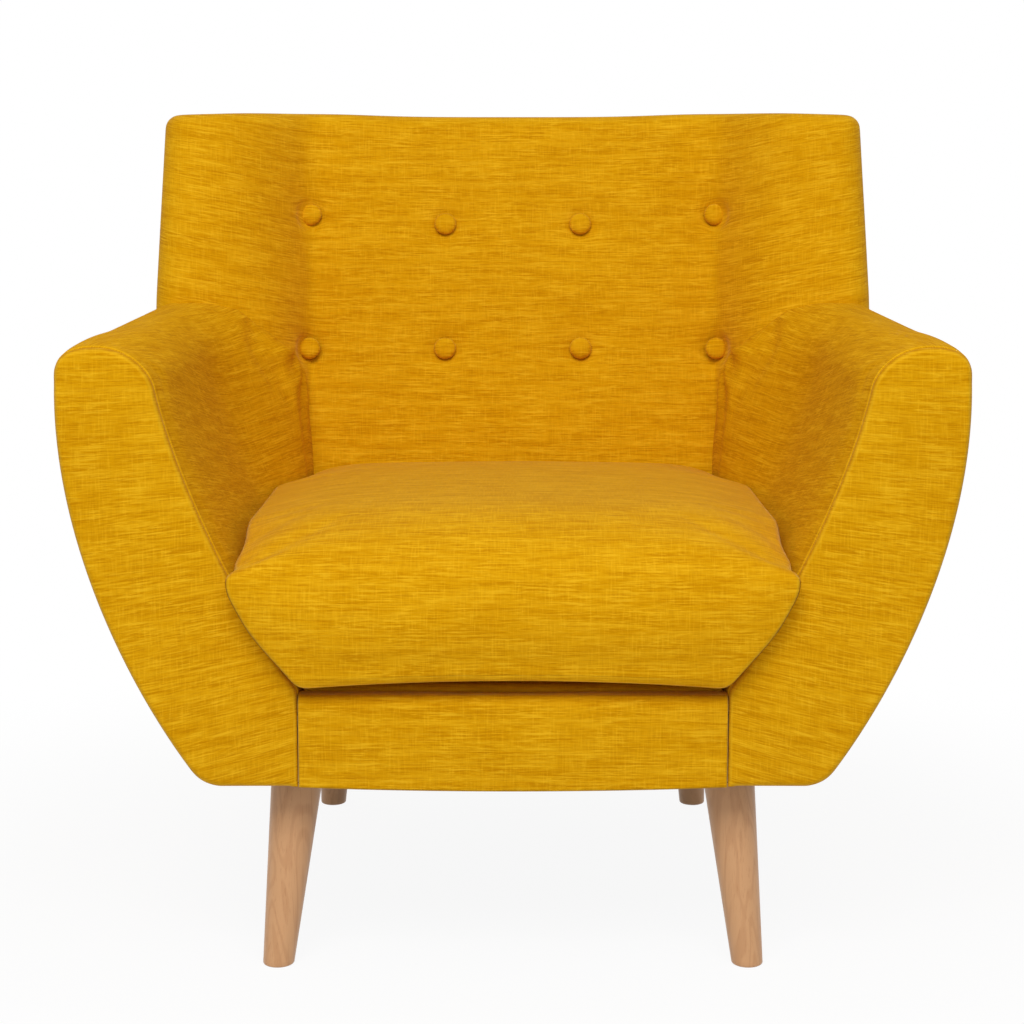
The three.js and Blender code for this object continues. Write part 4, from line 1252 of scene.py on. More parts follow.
@dataclass(frozen=True)
class InsideBack:
    """The buttoned inside back, its wings and its rolled top, in one cover."""

    form: ChairForm
    limit: ArmLimit
    spots: Sequence[ButtonSpot]
    step: float = 0.0075
    counts: tuple[int, int, int, int] = (34, 26, 9, 12)
    roll_steps: int = 6
    dimple: float = 0.003
    dimple_width: float = 0.022
    dimple_power: float = 1.4
    tied_round: float = 0.016
    front_depth: float = 0.02
    crease_width: float = 0.05
    crease_rounds: int = 14
    crease_from: tuple[float, float] = (0.01, 0.06)
    furrow: float = 0.0045
    furrow_width: float = 0.02
    furrow_ends: tuple[float, float] = (0.05, 0.09)
    column: float = 0.01
    thread_climb: float = 0.18
    pull: float = 0.003
    pull_width: float = 0.055
    held_sides: tuple[float, float] = (0.085, 0.04)
    held_top: tuple[float, float] = (0.07, 0.045)
    held_seat: float = 0.03
    hidden: tuple[float, float] = (0.03, 0.032)
    lift: float = 0.002
    rear_gap: float = 0.01
    centre_z: float = 0.6
    filling: Filling = Filling(pressure=2.0, reach=0.004)

    def _line(self, z: float, inset: float = 0.0) -> Array:
        """The cover's points at a height and an inset, from the left rear corner to the right one."""
        half = self._rounded_crease(z, self.form.back_plan(z, self.counts))
        moved = inset_path(half, inset)
        moved[0, 0] = 0.0
        moved[-1, 1] = half[-1, 1]
        return join(*np.vstack([moved[1:][::-1] * [-1.0, 1.0], moved]).T, z)

    def _rounded_crease(self, z: float, path: Array) -> Array:
        """Fill the crease where the wing leaves the back, above the arms.

        Args:
            z: The height.
            path: The right half of the plan.

        Returns:
            The path with its crease rounded.
        """
        below, reach = self.crease_from
        share = float(ease((z - self.form.lower_row + below) / reach))
        near = bell(path[:, 0] - self.form.back_half, self.crease_width)[1:-1, None]
        smooth = path.copy()
        for _ in range(self.crease_rounds):
            middle = 0.25 * smooth[:-2] + 0.5 * smooth[1:-1] + 0.25 * smooth[2:]
            smooth[1:-1] = mix(smooth[1:-1], middle, near * share)
        return smooth

    def _waved(self, points: Array) -> Array:
        """The cover's points with the slight wave of its top edge."""
        x, y, z = axes(points)
        return join(x, y, z + self.form.top_wave(x, z))

    def _tied(self, points: Array) -> tuple[Array, Array]:
        """Pull the cover in at the buttons, and along the furrow between the outer ones.

        Args:
            points: The cover's points.

        Returns:
            The moved points, and how firmly each is held.
        """
        x, y, z = axes(points)
        moved = ButtonWells(self.form, self.spots).press(points)
        held = np.zeros(points.shape[:-1])
        for spot in self.spots:
            gap = np.hypot(x - spot.x, z - spot.z)
            front = y < self.form.inside_back(z) + self.front_depth
            sink = self.dimple * np.exp(-((gap / self.dimple_width) ** self.dimple_power))
            sink += self.pull * np.exp(-gap / self.pull_width)
            moved[..., 1] += np.where(front, sink, 0.0)
            held = np.maximum(held, np.where(front & (gap < self.tied_round), 1.0, 0.0))
        outer = max(abs(spot.x) for spot in self.spots)
        rows = [spot.z for spot in self.spots if abs(abs(spot.x) - outer) < self.column]
        low, high = self.furrow_ends
        up = ease((z - (min(rows) - low)) / low) * (1.0 - ease((z - max(rows)) / high))
        moved[..., 1] += self.furrow * bell(np.abs(x) - outer, self.furrow_width) * up
        return moved, held

    def _edges_held(self, wall: Array) -> Array:
        """Hold the cover where it turns over the top, round the wings and under the seat."""
        form = self.form
        x, _, z = axes(wall)
        outer = ease((np.abs(x) - (form.half - self.held_sides[0])) / self.held_sides[1])
        top = ease((z - (form.height - self.held_top[0])) / self.held_top[1])
        return np.maximum(np.maximum(outer, top), 1.0 - ease((z - form.seat_line) / self.held_seat))

    def _top(self, rim: Array) -> Array:
        """The flat top behind the roll, from its front line to the rear corners.

        Args:
            rim: The wall's last line.

        Returns:
            Rows by columns by 3.
        """
        side = self.counts[3]
        flank = rim[: side + 1][::-1]
        front = rim[side:-side]
        shares = (flank[:, 1] - flank[0, 1]) / (flank[-1, 1] - flank[0, 1])
        way = shares[:, None, None] * np.array([0.0, 1.0, 0.0])
        top = front[None] + (rim[0, 1] - front[None, :, 1:2]) * way
        top[:, 0] = flank
        top[:, -1] = rim[-side - 1 :]
        return top

    def build(self) -> Piece:
        """Make the cover."""
        form = self.form
        straight_top = form.height - form.top_roll
        levels = int((straight_top - form.deck_z) / self.step)
        heights = np.linspace(form.deck_z + self.lift, straight_top, levels)
        rows = [self._line(float(z)) for z in heights]
        for turn in np.linspace(0, 1, self.roll_steps + 1)[1:]:
            angle = turn * math.pi / 2
            z = straight_top + form.top_roll * math.sin(angle)
            rows.append(self._line(float(z), form.top_roll * (1 - math.cos(angle))))
        wall = np.array(rows)
        top = self._top(wall[-1])
        run = lengths_along(wall, 1)
        run -= run[:, run.shape[1] // 2, None]
        slope = self.thread_climb * np.maximum(0.0, np.abs(run) - form.back_half)
        weave = join(run, lengths_along(wall, 0) - slope)
        side = self.counts[3]
        top_weave = join(run[-1, side:-side], weave[-1, side:-side, 1] + lengths_along(top, 0))
        moved, held = self._tied(self._waved(wall))
        held = np.maximum(held, self._edges_held(wall))
        x, y, z = axes(wall)
        inner = self.limit(np.clip(y, None, form.rear - self.rear_gap), z)
        hidden = (z < form.crest_rear - self.hidden[0]) & (np.abs(x) > inner + self.hidden[1])
        cloth = ClothMesh((0.0, float(form.outside_back(self.centre_z)), self.centre_z))
        cloth.add(moved, weave, held=held, keep=~hidden)
        cloth.add(self._waved(top), top_weave, held=1.0, seam=top[-1, 0, 1] - top[..., 1])
        return round_off(cloth.build("inside_back_cover", self.filling))


@dataclass(frozen=True)
class OutsideBack:
    """The plain panel behind, from the underside to the top of the wings."""

    form: ChairForm
    samples: int = 60
    corner_steps: int = 10
    corner_gap: float = 0.001
    inside: Vec3 = (0.0, 0.1, 0.5)

    def build(self) -> Piece:
        """Make the panel."""
        form = self.form
        hem, foot_up, roll = (
            form.arm_point(form.rear, run, np.linspace(start, 0, self.samples))
            for run, start in ((5, 1), (4, form.hem_start), (3, 1))
        )
        wing = form.half - form.wing_inset
        top = form.height - form.top_roll
        narrow = wing - form.wing_taper
        turn = np.linspace(0, math.pi / 2, self.corner_steps)
        split = self.corner_steps // 2
        corner = join(
            narrow - form.top_roll + form.top_roll * np.cos(turn),
            top + form.top_roll * np.sin(turn),
        )
        upper = [[wing, form.crest_rear], [narrow, top - self.corner_gap]]
        right = np.vstack([hem, foot_up[1:], roll[roll[:, 0] > wing][1:], upper, corner[: split + 1]])
        top_edge = np.vstack([corner[split:] * [-1, 1], corner[split:][::-1]])
        sides = PanelSides.close(right * [-1, 1], right, top=top_edge)

        def place(x: Array, z: Array, sunk: Array) -> tuple[Values, ...]:
            """Put the panel's points on the leaning rear face."""
            return x, form.outside_back(z) - sunk, z + form.top_wave(x, z)

        panel = PaddedPanel(fullness=0.002, depth=0.009, across=90, up=90)
        return panel.sew(sides, place, self.inside, "outside_back_cover")


@dataclass(frozen=True)
class CoveredButton:
    """A domed button covered in the same cloth, gathered under its rim."""

    form: ChairForm
    spot: ButtonSpot
    rim: float = 0.0131
    rise: float = 0.0088
    sink: float = 0.0046
    inside: float = 0.02
    sides: int = 40
    gathers: float = 14.0
    gather_depth: float = 0.012
    gather_from: float = 0.75
    turn_by_place: float = 40.0

    def build(self) -> Piece:
        """Make the button."""
        spot = self.spot
        reach, level = np.array(BUTTON_PROFILE).T[..., None]
        turns = np.linspace(0, 2 * math.pi, self.sides + 1)
        waves = self.gather_depth * np.sin(turns * self.gathers + spot.x * self.turn_by_place)
        gather = 1.0 + waves * np.clip(reach - self.gather_from, 0, 1) / (1.0 - self.gather_from)
        across = self.rim * reach * gather * np.cos(turns)
        up = self.rim * reach * gather * np.sin(turns)
        out = self.rise * level
        lean = math.atan(self.form.rake)
        y = float(self.form.inside_back(spot.z)) + self.sink
        points = join(
            spot.x + across,
            y - out * math.cos(lean) + up * math.sin(lean),
            spot.z + out * math.sin(lean) + up * math.cos(lean),
        )
        points[:, -1] = points[:, 0]
        cloth = ClothMesh((spot.x, y + self.inside, spot.z))
        cloth.add(points, join(across + spot.x, up + spot.z))
        return round_off(cloth.build(spot.node.replace("button_", "covered_button_")))


# ---- the arms


@dataclass(frozen=True)
class ArmCover:
    """A cover of the arm, made for the right side and mirrored to its own."""

    form: ChairForm
    hand: Hand
    filling: Filling
    inset: float
    swell: float
    weave_start: float
    start: float = 0.0055
    lip: float = 0.0022
    lip_reach: float = 0.0045
    rest: float = 0.0006
    swell_reach: float = 0.03
    overlap: float = 0.0015
    rows: int = 92
    first_row: float = 0.018
    lead: tuple[float, ...] = (0.0, 0.0012, 0.0026, 0.0045, 0.008)
    fit_rounds: int = 4
    held_rows: tuple[int, int] = (6, 2)

    def grid(self, runs: Sequence[tuple[int, float, int]]) -> Array:
        """Points of the cover.

        Args:
            runs: Run of the arm's section, its last share and its number of steps, in order.

        Returns:
            Rows from front to rear by columns over the section, for the right side.
        """
        form = self.form
        last_run, last_share, _ = runs[-1]
        run = np.concatenate([*(np.full(n, number) for number, _, n in runs), [last_run]])
        parts = (np.linspace(0.0, share, n, endpoint=False) for _, share, n in runs)
        share = np.concatenate([*parts, [last_share]])
        lead = np.array(self.lead) / (form.rear - form.facing_y)
        s = np.concatenate([lead, np.linspace(self.first_row, 1.0, self.rows)])[:, None]
        front = form.facing_y + self.start
        y = s * (form.rear - front) + front
        for _ in range(self.fit_rounds):
            section = form.arm_point(y, run, share)
            y = front + s * (form.rear_plane(section[..., 1]) + self.overlap - front)
        section = form.arm_point(y, run, share)
        along = unit(np.gradient(section, axis=1))
        depth = y - front
        out = self.swell * ease(depth / self.swell_reach) + self.rest
        out = out - self.lip * fallen(depth, self.lip_reach)
        section = section + join(-along[..., 1], along[..., 0]) * out[..., None]
        return join(section[..., 0], y, section[..., 1])

    def sew(
        self,
        name: str,
        grid: Array,
        weave: Array,
        held: Array,
        seam: Array,
        keep: Array | None = None,
    ) -> Piece:
        """Sew the cover from its points and fill it.

        Args:
            name: The piece's name, without its side.
            grid: The points, for the right side.
            weave: Their cloth coordinates, without the cover's own start.
            held: Which points are held, apart from the front and rear rows.
            seam: Distance of each point from the nearest seam.
            keep: Which points are kept, or None for all of them.

        Returns:
            The piece.
        """
        front, rear = self.held_rows
        held[:front] = 1.0
        held[-rear:] = 1.0
        weave[..., 0] += self.weave_start
        cloth = ClothMesh((self.hand.value * (self.form.half - self.inset), 0.0, self.form.seat_line))
        cloth.add(self.hand.mirror(grid), weave, held=held, seam=seam, keep=keep)
        return round_off(cloth.build(f"{name}_{self.hand.word}", self.filling))


@dataclass(frozen=True)
class InsideArm(ArmCover):
    """The cover of the arm's inner face and its rolled top."""

    filling: Filling = Filling(pressure=2.5, reach=0.004)
    inset: float = 0.07
    swell: float = 0.001
    weave_start: float = 0.7
    fold: float = 0.0034
    fold_at: tuple[float, float] = (0.05, 0.04)
    fold_turns: tuple[float, float] = (11.0, 0.6)
    dent: float = 0.019
    dent_size: Vec3 = (0.055, 0.0165, 0.085)
    dent_even: float = 0.55
    thread_fall: float = 0.18
    held_columns: int = 3
    held_ahead: float = 0.035
    hidden: tuple[float, float] = (0.03, 0.05)

    def build(self) -> Piece:
        """Make the cover."""
        form = self.form
        runs = [(0, 1.0, 3), (1, 1.0, 40), (2, 1.0, 14), (3, 1.0, 14)]
        crest = sum(steps for *_, steps in runs[:3])
        grid = self._pulled(self.grid(runs))
        x, y, z = axes(grid)
        climb = lengths_along(grid, 1)
        girth = climb[:, crest, None]
        level = np.where(climb < girth, climb / girth * girth.mean(), climb - girth + girth.mean())
        behind = y - form.inside_back(z)
        held = np.where(behind > -self.held_ahead, 1.0, 0.0)
        held[:, : self.held_columns] = 1.0
        held[:, -1] = 1.0
        hidden = (behind > self.hidden[0]) & (x < form.half - self.hidden[1])
        weave = join(y, level + self.thread_fall * y)
        seam = np.minimum(y - y[0, 0], SEAMLESS)
        return self.sew("inside_arm_cover", grid, weave, held, seam, ~hidden)

    def _pulled(self, grid: Array) -> Array:
        """Pull the cover out round the corner button, with the short folds that run to it."""
        form = self.form
        gap = grid - np.array([form.back_half, form.meet_y, form.lower_row])
        _, y, z = axes(gap)
        turns, offset = self.fold_turns
        middle, width = self.fold_at
        fold = np.sin(np.arctan2(-y, z + NUDGE) * turns + offset)
        fold = fold * bell(np.linalg.norm(gap, axis=-1) - middle, width)
        deep, high, low = self.dent_size
        dent = mix(bell(z, np.where(z < 0, low, high)), bell(z, high), self.dent_even)
        moved = grid.copy()
        moved[..., 0] += self.fold * fold + self.dent * (dent * bell(y, deep))
        return moved


@dataclass(frozen=True)
class OutsideArm(ArmCover):
    """The cover of the arm's outer face, turned under at the bottom."""

    filling: Filling = Filling(pressure=1.5, reach=0.003)
    inset: float = 0.16
    swell: float = 0.0005
    weave_start: float = 2.3
    tuck: Vec3 = (0.0022, 0.0, -0.0005)
    turned: tuple[float, float] = (0.004, 0.012)
    held_columns: tuple[int, int] = (2, 8)

    def build(self) -> Piece:
        """Make the cover."""
        grid = self.grid([(4, self.form.hem_start, 44), (5, 1.0, 8)])
        tuck = grid[:, :1] - np.array(self.tuck)
        turned = [grid[:, -1:] + np.array([-reach, 0.0, 0.0]) for reach in self.turned]
        grid = np.concatenate([tuck, grid, *turned], 1)
        y = grid[..., 1]
        climb = lengths_along(grid, 1)
        held = np.zeros(y.shape)
        first, last = self.held_columns
        held[:, :first] = 1.0
        held[:, -last:] = 1.0
        seam = np.minimum(climb, y - y[0, 0])
        return self.sew("outside_arm_cover", grid, join(y, -climb), held, seam)


@dataclass(frozen=True)
class ArmFacing:
    """The padded front panel of the arm."""

    form: ChairForm
    hand: Hand
    split: float = 0.55
    samples: int = 60
    levelled: float = 0.85
    level_side: tuple[float, float] = (0.003, 0.008)
    level_top: tuple[float, float] = (0.016, 0.012)
    inside: Vec3 = (0.36, 0.08, 0.45)

    def build(self) -> Piece:
        """Make the panel."""
        form = self.form

        def run(number: int, first: float, last: float) -> Array:
            """Part of the arm's section at the front."""
            return form.arm_point(form.facing_y, number, np.linspace(first, last, self.samples))

        below = [[form.seat_half, form.under]]
        inner = np.vstack([below, run(1, 0, 1), run(2, 0, self.split)[1:]])
        outer = np.vstack([run(5, 1, 0), run(4, form.hem_start, 0)[1:], run(3, 1, 1 - self.split)[1:]])
        top = np.vstack([run(2, self.split, 1), run(3, 0, 1 - self.split)[1:]])
        sides = PanelSides.close(inner, outer, top=top)

        def place(x: Array, z: Array, sunk: Array) -> tuple[Values, ...]:
            """Stand the panel upright on the front of the arm, flush with the border beside it."""
            beside = 1 - ease((x - form.seat_half - self.level_side[0]) / self.level_side[1])
            low_down = 1 - ease((z - form.border_top + self.level_top[0]) / self.level_top[1])
            level = self.levelled * (beside * low_down)
            return self.hand.value * x, form.facing_y + sunk * (1 - level), z

        across, behind, up = self.inside
        inside = (self.hand.value * across, form.facing_y + behind, up)
        return PaddedPanel(lean=0.3).sew(sides, place, inside, f"arm_facing_cover_{self.hand.word}")


# ---- the seat


@dataclass(frozen=True)
class FrontBorder:
    """The padded rail cover between the arm facings, under the seat."""

    form: ChairForm
    sag: float = 0.004
    head: float = 0.003
    roll: float = 0.013
    lap: float = 0.0005
    samples: int = 50
    inside: tuple[float, float] = (0.08, 0.24)

    def build(self) -> Piece:
        """Make the panel."""
        under = self.form.under
        low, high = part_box("front_border")
        half = high.x + self.lap
        crest = high.z - self.head
        x = np.linspace(-half, half, self.samples)
        bottom = join(x, under - self.sag * (1 - (x / half) ** 2))
        left = np.array([[-half, under], [-half, crest]])
        sides = PanelSides.close(left, left * [-1, 1], bottom)

        def place(x: Array, z: Array, sunk: Array) -> tuple[Values, ...]:
            """Stand the panel upright across the front, rolled back along its top."""
            return x, np.minimum(low.y + sunk + self.roll * fallen(crest - z, self.roll), high.y), z

        behind, up = self.inside
        panel = PaddedPanel(edge=0.0008, depth=high.y - low.y, across=110, up=34, crisp=2.5)
        return panel.sew(sides, place, (0.0, low.y + behind, up), "front_border_cover")


@dataclass(frozen=True)
class SeatDeck:
    """The padded deck over the springs, under the loose cushion."""

    limit: ArmLimit
    gap: float = 0.0016
    lift: float = 0.001
    samples: int = 50
    inside: Vec3 = (0.0, 0.0, 0.2)

    def build(self) -> Piece:
        """Make the deck's cover."""
        low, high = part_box("seat_deck")
        y = np.linspace(low.y, high.y, self.samples)
        half = self.limit(y, np.full(self.samples, low.z + self.lift)) - self.gap
        right = join(np.minimum(half, high.x), y)
        sides = PanelSides.close(right * [-1, 1], right)

        def place(x: Array, y: Array, sunk: Array) -> tuple[Values, ...]:
            """Lay the panel level on the springs."""
            return x, y, high.z - sunk

        panel = PaddedPanel(edge=0.012, fullness=0.0, depth=high.z - low.z, tuck=0.0, across=60, up=60)
        return panel.sew(sides, place, self.inside, "seat_deck_cover")


@dataclass(frozen=True)
class SeatCushion:
    """The loose seat cushion: one panel over the top and front, with sewn-in sides.

    Its places are given by a across (-1 to 1), b from front to rear (-1 to 1) and, on its
    sides, w from the bottom to the seam line (0 to 1).
    """

    form: ChairForm
    limit: ArmLimit
    across: int = 68
    along: int = 58
    pull: float = 0.6
    levels: tuple[float, ...] = (0.0, 0.012, 0.035, 0.07, *np.linspace(0.12, 1.0, 12))
    gap: float = 0.0055
    undercut: float = 0.0060
    seam_drop: tuple[float, float] = (0.046, 0.014)
    seam_rise: float = 0.16
    widest: float = 0.2690
    front_widest: float = 0.2715
    waist: float = 0.0060
    waist_at: tuple[float, float] = (0.07, 0.05)
    side_gap: float = 0.0015
    side_gap_at: tuple[float, float] = (-0.17, 0.13)
    overhang: float = 0.011
    side_roll: tuple[float, float] = (0.060, 0.036)
    side_power: float = 1.6
    front_roll: float = 0.130
    front_power: float = 1.7
    rear_roll: float = 0.024
    crown: float = 0.0125
    crown_room: float = 0.004
    front_bulge: float = 0.004
    ear: float = 0.0120
    edge: float = 0.009
    arch: tuple[float, float] = (0.003, 0.0075)
    hem: float = 0.0055
    hem_crisp: float = 2.2
    firm: float = 0.7
    firm_width: float = 0.006
    clear: Vec3 = (0.0028, 0.0015, 0.013)
    rear_gap: float = 0.0035
    belly: tuple[float, float] = (0.12, 0.66)
    belly_ends: float = 0.6
    ear_reach: float = 0.004
    ear_rise: float = 0.6
    widening: float = 0.14
    front_part: float = 0.5
    seated: tuple[float, float] = (0.004, 0.03)
    rear_weave: float = 10.0
    side_weave: float = 3.0
    floor_weave: float = 9.0
    filling: Filling = Filling(pressure=4.0, reach=0.005, tension=18.0)

    def _seam_z(self, b: Values) -> Array:
        """Height of the side seam, which dips to the front corners."""
        low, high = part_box("seat_cushion")
        along = (b + 1) / 2 * (high.y - low.y)
        return high.z - mix(*self.seam_drop, ease(along / self.seam_rise))

    def _side(self, a: Values, b: Values, w: Values) -> Array:
        """Points of the sides, and of the bottom and the seam line that end them."""
        form = self.form
        low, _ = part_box("seat_cushion")
        front_share = ease((-b - self.front_part) / self.front_part)
        start = low.z + front_share * (self.arch[0] + self.arch[1] * (1 - a**2))
        z = mix(start, self._seam_z(b), w)
        tuck = self.edge * fallen(z - start, self.edge)
        first, span = self.belly
        belly = np.sin(math.pi * (first + span * w)) * (1 - self.belly_ends * a**4)
        front = low.y - self.overhang - self.front_bulge * belly + tuck
        rear = form.inside_back(z) - form.back_crown - self.rear_gap - tuck
        y = mix(front, rear, (b + 1) / 2)
        ahead = 1 - ease((y - (form.facing_y - self.ear_reach)) / self.ear_reach)
        inner = self.limit(y, z) - self.gap + self.ear * ahead * ease(w / self.ear_rise)
        wide = mix(self.front_widest, self.widest, ease((y - low.y) / self.widening))
        wide = wide - self.waist * bell(y - low.y - self.waist_at[0], self.waist_at[1])
        half = np.minimum(inner, wide) - tuck
        half = half - self.side_gap * w * bell(y - self.side_gap_at[0], self.side_gap_at[1])
        half = half - self.undercut * np.sin(math.pi * np.clip(w, 0, 1)) ** 2 * (1 - ahead)
        return join(a * half, y, z)

    def _top(self, a: Array, b: Array) -> Array:
        """Points of the domed top, which falls over the front and to the side seams."""
        form = self.form
        _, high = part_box("seat_cushion")
        x, y, z = axes(self._side(a, b, np.ones_like(a)))
        from_side = (1 - np.abs(a)) * self.widest / mix(*self.side_roll, (b + 1) / 2)
        falls = (
            (from_side, self.side_power),
            ((y - y[:1]) / self.front_roll, self.front_power),
            ((y[-1:] - y) / self.rear_roll, 2),
        )
        rise = high.z - self.crown_room - z
        for share, power in falls:
            rise = rise * (1 - (1 - np.clip(share, 0, 1)) ** power) ** (1 / power)
        z = z + rise
        z += self.crown * (1 - a**2) * (1 - np.abs(b) ** 3)
        back = form.inside_back(z) - form.inside_back(self._seam_z(b))
        return join(x, y + back * ((b + 1) / 2) ** 3, z)

    def _firm(self, gap: Array) -> Array:
        """How firmly the cover is held near a seam."""
        return bell(gap, self.firm_width) * self.firm

    def _add_wall(self, cloth: ClothMesh, wall: Array, end: float | None) -> None:
        """Sew in one of the four sides.

        Args:
            cloth: The cushion's cloth.
            wall: The side's points, from the bottom up.
            end: -1 for the front, 1 for the rear, None for the left and right sides.
        """
        x, y, z = axes(wall)
        drop = z[-1:] - z
        seated = 1.0 - ease((z - z[:1] - self.seated[0]) / self.seated[1])
        if end is None:
            weave, gap, seam = join(y + self.side_weave, z), drop, np.minimum(drop, y - y[:, :1])
        else:
            gap = np.abs(np.abs(x) - np.abs(x[:, -1:]))
            hem_gap = np.abs(z - z[:1] - self.hem)
            seam = np.minimum(gap, self.hem_crisp * hem_gap if end < 0 else drop)
            weave = join(x, -drop + (0.0 if end < 0 else self.rear_weave))
        cloth.add(wall, weave, held=np.maximum(seated, self._firm(gap)), seam=seam)

    def build(self) -> Piece:
        """Make the cushion."""
        low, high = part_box("seat_cushion")
        a = 2 * clustered(self.across, self.pull) - 1
        b = 2 * clustered(self.along, self.pull) - 1
        w = np.array(self.levels)[:, None]
        grid = np.meshgrid(a, b)
        top = self._top(*grid)
        x, y, _ = axes(top)
        edge_gap = np.abs(np.abs(x) - np.abs(x[:, -1:]))
        seam = np.minimum(edge_gap, y[-1:] - y)
        cloth = ClothMesh((0.0, (low.y + high.y) / 2, (low.z + high.z) / 2))
        cloth.add(top, join(x, lengths_along(top, 0)), held=self._firm(edge_gap), seam=seam)
        for end in (-1.0, 1.0):
            self._add_wall(cloth, self._side(a, end, w), end)
        for side in (-1.0, 1.0):
            self._add_wall(cloth, self._side(side, b, w), None)
        floor = self._side(*grid, np.zeros_like(grid[0]))
        cloth.add(floor, floor[..., :2] + self.floor_weave, held=1.0)
        piece = cloth.build("loose_seat_cushion", self.filling)
        self._fit(piece)
        return round_off(piece)

    def _fit(self, piece: Piece) -> None:
        """Keep the filled cushion on the deck and clear of the arms and the back."""
        form = self.form
        from_arm, from_back, ear = self.clear
        x, y, z = points_of(piece.data).T
        z = np.maximum(z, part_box("seat_cushion")[0].z)
        y = np.minimum(y, form.inside_back(z) - form.back_crown - from_back)
        inner = self.limit(y, z) - from_arm
        inner = np.where(y < form.facing_y - from_back, inner + ear, inner)
        move_points(piece, join(np.sign(x) * np.minimum(np.abs(x), inner), y, z))


# ---- legs and inner frame


@dataclass(frozen=True)
class TurnedLeg:
    """A tapered leg, turned round, splayed and cut level at both ends."""

    node: str
    top_radius: float = 0.026
    foot_radius: float = 0.0153
    edge: float = 0.002
    rounding: tuple[tuple[float, float], ...] = ((0.0, 1.0), (0.0006, 0.45), (0.0014, 0.12), (0.002, 0.0))
    straight_from: float = 0.006
    straight_steps: int = 14
    below_top: float = 0.001
    sharp: float = 50.0
    weave_round: float = 0.02
    sides: int = 56

    @classmethod
    def all(cls) -> list["TurnedLeg"]:
        """Every leg of the frame."""
        return [cls(node) for node in sorted(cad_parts) if node.startswith("leg_")]

    def ends(self) -> tuple[Vector, Vector]:
        """The middles of its foot and its top, from its node's box."""
        low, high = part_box(self.node)
        right, front = high.x > 0, low.y < 0
        outer, inner = (high.x, low.x) if right else (low.x, high.x)
        far, near = (low.y, high.y) if front else (high.y, low.y)
        x_way, y_way = math.copysign(1, outer), math.copysign(1, far)
        foot = Vector((outer - x_way * self.foot_radius, far - y_way * self.foot_radius, 0))
        top = Vector((inner + x_way * self.top_radius, near + y_way * self.top_radius, high.z))
        return foot, top

    def build(self) -> Piece:
        """Make the leg."""
        foot, top = self.ends()
        high = top.z
        straight = np.linspace(self.straight_from, high - self.below_top, self.straight_steps)
        levels = [(z, -self.edge * share) for z, share in self.rounding]
        levels += [(z, 0.0) for z in (*straight, high)]
        turns = np.linspace(0, 2 * math.pi, self.sides + 1)
        around = 0 * turns
        rows = [join(foot.x + around, foot.y, 0.0)]
        for z, change in levels:
            radius = mix(self.foot_radius, self.top_radius, z / high) + change
            centre = foot.lerp(top, z / high)
            rows.append(join(centre.x + radius * np.cos(turns), centre.y + radius * np.sin(turns), z))
        rows.append(join(top.x + around, top.y, high))
        grid = np.array(rows)
        grid[:, -1] = grid[:, 0]
        cloth = ClothMesh((*foot.lerp(top, 0.5).xy, high / 2))
        cloth.add(grid, join(turns * self.weave_round, grid[..., 2]))
        piece = cloth.build(self.node.replace("leg_", "turned_leg_"))
        piece.data.set_sharp_from_angle(angle=math.radians(self.sharp))
        return piece


@dataclass(frozen=True)
class DustCover:
    """The thin lining stapled across the underside, cut out round the legs."""

    sag: float = 0.0015
    step: float = 0.006
    clearance: float = 0.003
    lift: float = 0.0004
    inside: float = 0.1

    def build(self) -> tuple[Piece, tuple[float, float], float]:
        """Make the lining.

        Returns:
            The piece, its flat width and length, and its flat area with the leg holes cut out.
        """
        low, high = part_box("dust_cover")
        width, length = high.x - low.x, high.y - low.y
        x = np.linspace(low.x, high.x, int(width / self.step))
        y = np.linspace(low.y, high.y, int(length / self.step))
        grid = np.stack(np.meshgrid(x, y), -1)
        keep = np.ones(grid.shape[:2], bool)
        area = width * length
        for leg in TurnedLeg.all():
            radius = leg.top_radius + self.clearance
            gap = grid - np.array(leg.ends()[1].xy)
            distance = np.linalg.norm(gap, axis=-1)
            keep &= distance > radius - self.step / 2
            ring = np.abs(distance - radius) < self.step / 2
            grid = grid + np.where(ring, radius / np.maximum(distance, NUDGE) - 1, 0)[..., None] * gap
            area -= math.pi * radius**2
        x, y = axes(grid)
        across = (1 - (x / (width / 2)) ** 2).clip(0, 1)
        along = (1 - ((y - (low.y + high.y) / 2) / (length / 2)) ** 2).clip(0, 1)
        cloth = ClothMesh((0.0, 0.0, high.z + self.inside))
        cloth.add(join(x, y, low.z + self.lift - self.sag * across * along), grid, keep=keep)
        return cloth.build("underside_lining"), (width, length), area


@dataclass(frozen=True)
class InnerFrame:
    """Everything that stays hidden: its solids are right, and get their finishes."""

    finishes: Finishes

    def dress(self) -> None:
        """Give each inner node its material."""
        finishes = self.finishes
        kinds = (
            (finishes.zinc, ("hanger_bolt", "tee_nut")),
            (finishes.wire, ("seat_spring",)),
            (finishes.rail, ("side_rail", "arm_top_rail")),
            (finishes.cross_rail, ("front_rail", "rear_rail", "corner_block", "back_top", "back_lower")),
            (finishes.webbing, ("back_strap",)),
            (finishes.side_ply, ("back_upright",)),
            (finishes.ply, ("arm_front_panel", "arm_rear_panel", "wing_board")),
        )
        for node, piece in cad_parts.items():
            for material, starts in kinds:
                if node.startswith(starts):
                    dress(piece, material)
                    LOG.info("%s keeps its solid in %s", node, material.name)


# ---- studio


